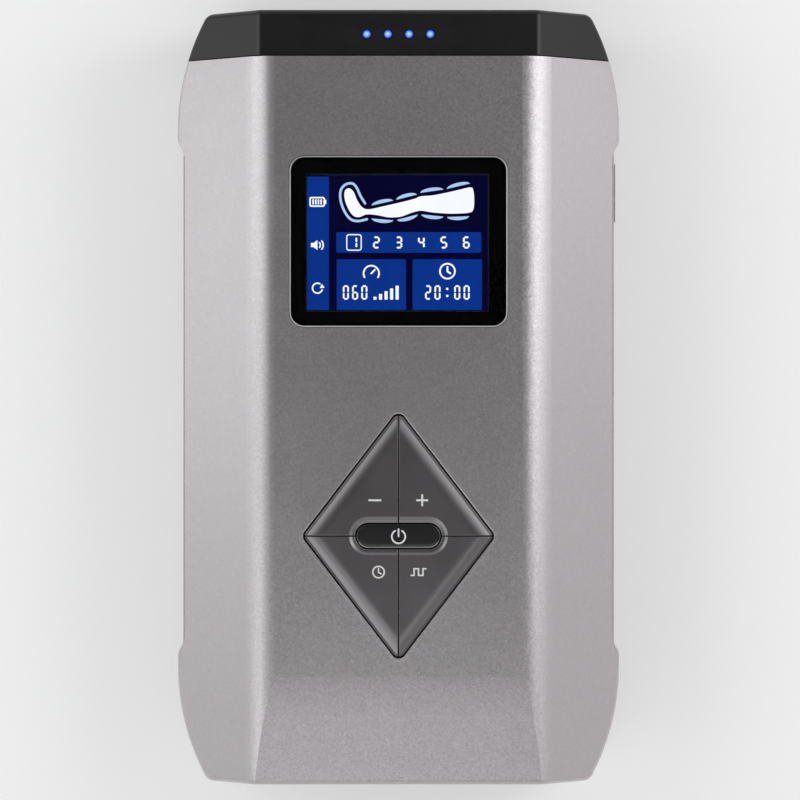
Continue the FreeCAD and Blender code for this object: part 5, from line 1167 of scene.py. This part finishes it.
def draw_sleeve(at):
    """A leg at rest between the air chambers of its sleeve, and the boot round its foot."""
    light_sign("screen_leg", [spline([at(*p) for p in LEG], LEG_STEPS)])
    chambers = [pad_outline(at, start, end, bulge)
                for runs, bulge in ((CHAMBERS_ABOVE, CHAMBER_BULGE), (CHAMBERS_BELOW, -CHAMBER_BULGE))
                for start, end in runs]
    chambers.append(ribbon(open_curve([at(*p) for p in BOOT], BOOT_STEPS), BOOT_STROKE))
    light_sign("screen_chambers", chambers, finish="screen_pale")


def pad_outline(at, start, end, bulge):
    """A thin pillow along a line, thickest in its middle, and below the line for a negative bulge."""
    start, end = Vector(start), Vector(end)
    along = end - start
    side = Vector((-along.y, along.x)).normalized() * bulge
    shares = [step / CHAMBER_STEPS for step in range(CHAMBER_STEPS + 1)]
    outline = [at(*(start.lerp(end, share) + side * math.sin(math.pi * share) ** 0.5))
               for share in shares]
    return outline if bulge < 0 else outline[::-1]


def open_curve(points, steps):
    """A smooth run through points that stays open."""
    ends = [2 * Vector(points[0]) - Vector(points[1]), 2 * Vector(points[-1]) - Vector(points[-2])]
    pts = [ends[0]] + [Vector(p) for p in points] + [ends[1]]
    made = []
    for i in range(1, len(pts) - 2):
        made += [tuple(curve_point(*pts[i - 1:i + 3], step / steps)) for step in range(steps)]
    return made + [tuple(points[-1])]


def curve_point(a, b, c, d, t):
    """A point on the smooth curve between b and c."""
    return 0.5 * (2 * b + (c - a) * t + (2 * a - 5 * b + 4 * c - d) * t * t
                  + (3 * b - a - 3 * c + d) * t ** 3)


def spline(points, steps):
    """A closed smooth outline through points."""
    pts = [Vector(p) for p in points]
    return [tuple(curve_point(*(pts[(i + k - 1) % len(pts)] for k in range(4)), step / steps))
            for i in range(len(pts)) for step in range(steps)]


# A light pipe's dome: share of its radius, and height above the face in millimetres.
PIPE_DOME = ((1.0, 0.02), (0.96, 0.09), (0.8, 0.16), (0.5, 0.2), (0.2, 0.215))
# A halo of painted glow on the cap: its edges as shares of the pipe's radius, and its thickness.
HALO_INNER, HALO_OUTER, HALO_THICK = 1.06, 1.6, 0.015 * MM
LAMP_COUNT = 4


class PUMP_OT_make_indicators(bpy.types.Operator):
    """Make the four domed light pipes and their faint halos of painted glow on the cap"""
    bl_idname = "pump.make_indicators"
    bl_label = "Make the indicators"

    def execute(self, context):
        sizes = context.scene.pump_lamps
        y = (PIPES_LOW.y + PIPES_HIGH.y) / 2
        r = sizes.radius
        section = [(1.0, PIPES_LOW.z - FACE_Z)] + [(share, rise * MM) for share, rise in PIPE_DOME]
        pipe = Shape().loops([raised(circle(0, 0, r * share), z) for share, z in section])
        # Each halo is a ring of painted glow on the cap, not a lamp.
        halo = Shape().ring(circle(0, 0, r * HALO_OUTER), circle(0, 0, r * HALO_INNER), 0.0, HALO_THICK)
        for index in range(LAMP_COUNT):
            lamp = (piece("indicator_%d" % (index + 1), pipe, "light_pipe", "case",
                          replaces=("light_pipes",) if index == 0 else ()),
                    piece("indicator_halo_%d" % (index + 1), halo, "painted_lamp_glow", "case",
                          smooth=False))
            for made in lamp:
                made.location = ((index - (LAMP_COUNT - 1) / 2) * sizes.pitch, y, FACE_Z)
        return {"FINISHED"}


# ---------------------------------------------------------------- stage

# The camera's sensor in millimetres, and how far the camera stands off the pump's middle.
SENSOR_WIDTH = 36.0
EYE_SHIFT = (0.4 * MM, -0.7 * MM)
# How far the floor reaches each way, and the glow that the camera and reflections see on it.
FLOOR_REACH, FLOOR_GLOW = 9.0, 0.2
# Grey levels of the surround, from below (0) to straight overhead (1).
SURROUND = ((0.0, 0.5), (0.35, 0.7), (0.6, 0.8), (0.75, 0.5), (0.86, 0.3), (0.94, 0.03), (1.0, 0.0))
COOL, WARM = (0.97, 1.0, 0.99), (1.0, 0.99, 1.0)
# Lamps: name, place, width and height, level and tint.
SOFTBOXES = (("left_softbox", (-0.52, 0.2, 0.6), (0.34, 0.5), 1.3, COOL),
             ("left_foot_softbox", (-0.52, -0.22, 0.6), (0.34, 0.36), 0.8, COOL),
             ("left_side_softbox", (-0.8, 0.1, 0.2), (0.26, 0.6), 0.72, COOL),
             ("right_softbox", (0.54, 0.2, 0.56), (0.26, 0.5), 1.07, WARM),
             ("right_inner_softbox", (0.4, 0.2, 0.64), (0.24, 0.5), 0.52, WARM),
             ("right_strip", (0.43, 0.03, 0.62), (0.24, 0.24), 1.3, WARM),
             ("right_side_softbox", (0.68, 0.2, 0.38), (0.36, 0.5), 0.74, WARM),
             ("foot_softbox", (0.0, -0.26, 0.78), (0.5, 0.16), 1.3, WARM),
             ("foot_corner_softbox", (-0.3, -0.44, 0.7), (0.3, 0.3), 1.3, WARM))
LAMP_AIM = Vector((0, 0, 0.03))


class PUMP_OT_build_stage(bpy.types.Operator):
    """Lay the floor, hang the lamps and set up the camera"""
    bl_idname = "pump.build_stage"
    bl_label = "Build the stage"

    def execute(self, context):
        scene, sizes = context.scene, context.scene.pump_stage
        scene.view_settings.view_transform = "Standard"
        camera = bpy.data.cameras.new("camera")
        camera.sensor_width = SENSOR_WIDTH
        camera.lens = camera.sensor_width * sizes.camera_height / sizes.view_width
        eye = bpy.data.objects.new("camera", camera)
        eye.location = (*EYE_SHIFT, FACE_Z + sizes.camera_height)
        scene.collection.objects.link(eye)
        scene.camera = eye
        mesh = bpy.data.meshes.new("floor")
        mesh.from_pydata([(x * FLOOR_REACH, y * FLOOR_REACH, 0.0)
                          for x, y in ((-1, -1), (1, -1), (1, 1), (-1, 1))], [], [(0, 1, 2, 3)])
        tree, bsdf = blank("floor", Base_Color=rgba(sizes.floor), Roughness=0.9,
                           Emission_Color=(1.0, 1.0, 1.0, 1.0))
        path = add(tree, "ShaderNodeLightPath").outputs
        seen = math_node(tree, "MAXIMUM", path["Is Camera Ray"], path["Is Glossy Ray"])
        seen = math_node(tree, "MAXIMUM", seen, path["Is Transmission Ray"])
        tree.links.new(math_node(tree, "MULTIPLY", seen, FLOOR_GLOW), bsdf.inputs["Emission Strength"])
        mesh.materials.append(FINISHES["floor"])
        floor = bpy.data.objects.new("floor", mesh)
        scene.collection.objects.link(floor)
        self.light_world(scene)
        for softbox in SOFTBOXES:
            self.hang_lamp(scene, *softbox)
        return {"FINISHED"}

    def light_world(self, scene):
        """A plain studio surround, pale all round and dark overhead."""
        world = bpy.data.worlds.new("studio")
        scene.world = world
        world.use_nodes = True
        tree = world.node_tree
        back = tree.nodes["Background"]
        place = add(tree, "ShaderNodeTexCoord").outputs["Generated"]
        height = add(tree, "ShaderNodeSeparateXYZ", {"Vector": place}).outputs[2]
        ramp = add(tree, "ShaderNodeValToRGB", {"Fac": height})
        stops = ramp.color_ramp.elements
        for stop, (position, level) in zip(stops, (SURROUND[0], SURROUND[-1])):
            stop.position, stop.color = position, rgba([level] * 3)
        for position, level in SURROUND[1:-1]:
            stops.new(position).color = rgba([level] * 3)
        tree.links.new(ramp.outputs[0], back.inputs["Color"])
        back.inputs["Strength"].default_value = 1.0

    def hang_lamp(self, scene, name, place, size, level, colour):
        """A soft rectangular lamp of an even level that faces the pump."""
        data = bpy.data.lights.new(name, "AREA")
        data.shape = "RECTANGLE"
        data.size, data.size_y = size
        data.energy = level * math.pi * data.size * data.size_y
        data.color = colour
        lamp = bpy.data.objects.new(name, data)
        lamp.location = place
        away = Vector(place) - LAMP_AIM
        lamp.rotation_mode = "QUATERNION"
        lamp.rotation_quaternion = away.to_track_quat("Z", "Y")
        lamp.visible_camera = False
        scene.collection.objects.link(lamp)


class PUMP_PT_panel(bpy.types.Panel):
    """Lists the pump's pieces and their sizes"""
    bl_idname = "PUMP_PT_panel"
    bl_label = "Compression pump"
    bl_space_type = "VIEW_3D"
    bl_region_type = "UI"
    bl_category = "Pump"

    def draw(self, context):
        for step in STEPS:
            self.layout.operator(step.bl_idname)
        for group in (context.scene.pump_keys, context.scene.pump_screen,
                      context.scene.pump_lamps, context.scene.pump_stage):
            box = self.layout.box()
            for name in group.__annotations__:
                box.prop(group, name)


STEPS = (PUMP_OT_finish_nodes, PUMP_OT_make_keys, PUMP_OT_make_power_key, PUMP_OT_print_legends,
         PUMP_OT_make_display, PUMP_OT_make_indicators, PUMP_OT_build_stage)
GROUPS = {"pump_keys": KeySizes, "pump_screen": ScreenSizes, "pump_lamps": LampSizes,
          "pump_stage": StageSizes}


def register():
    """Register the groups, the operators and the panel."""
    for name, group in GROUPS.items():
        bpy.utils.register_class(group)
        setattr(bpy.types.Scene, name, bpy.props.PointerProperty(type=group))
    for item in STEPS + (PUMP_PT_panel,):
        bpy.utils.register_class(item)


def unregister():
    """Take everything out again."""
    for item in reversed(STEPS + (PUMP_PT_panel,)):
        bpy.utils.unregister_class(item)
    for name, group in GROUPS.items():
        delattr(bpy.types.Scene, name)
        bpy.utils.unregister_class(group)


def main():
    """Dress the pump."""
    register()
    bpy.ops.pump.finish_nodes()
    bpy.ops.pump.make_keys()
    bpy.ops.pump.make_power_key()
    bpy.ops.pump.print_legends()
    bpy.ops.pump.make_display()
    bpy.ops.pump.make_indicators()
    bpy.ops.pump.build_stage()
    bpy.context.view_layer.update()


if __name__ == "__main__":
    main()
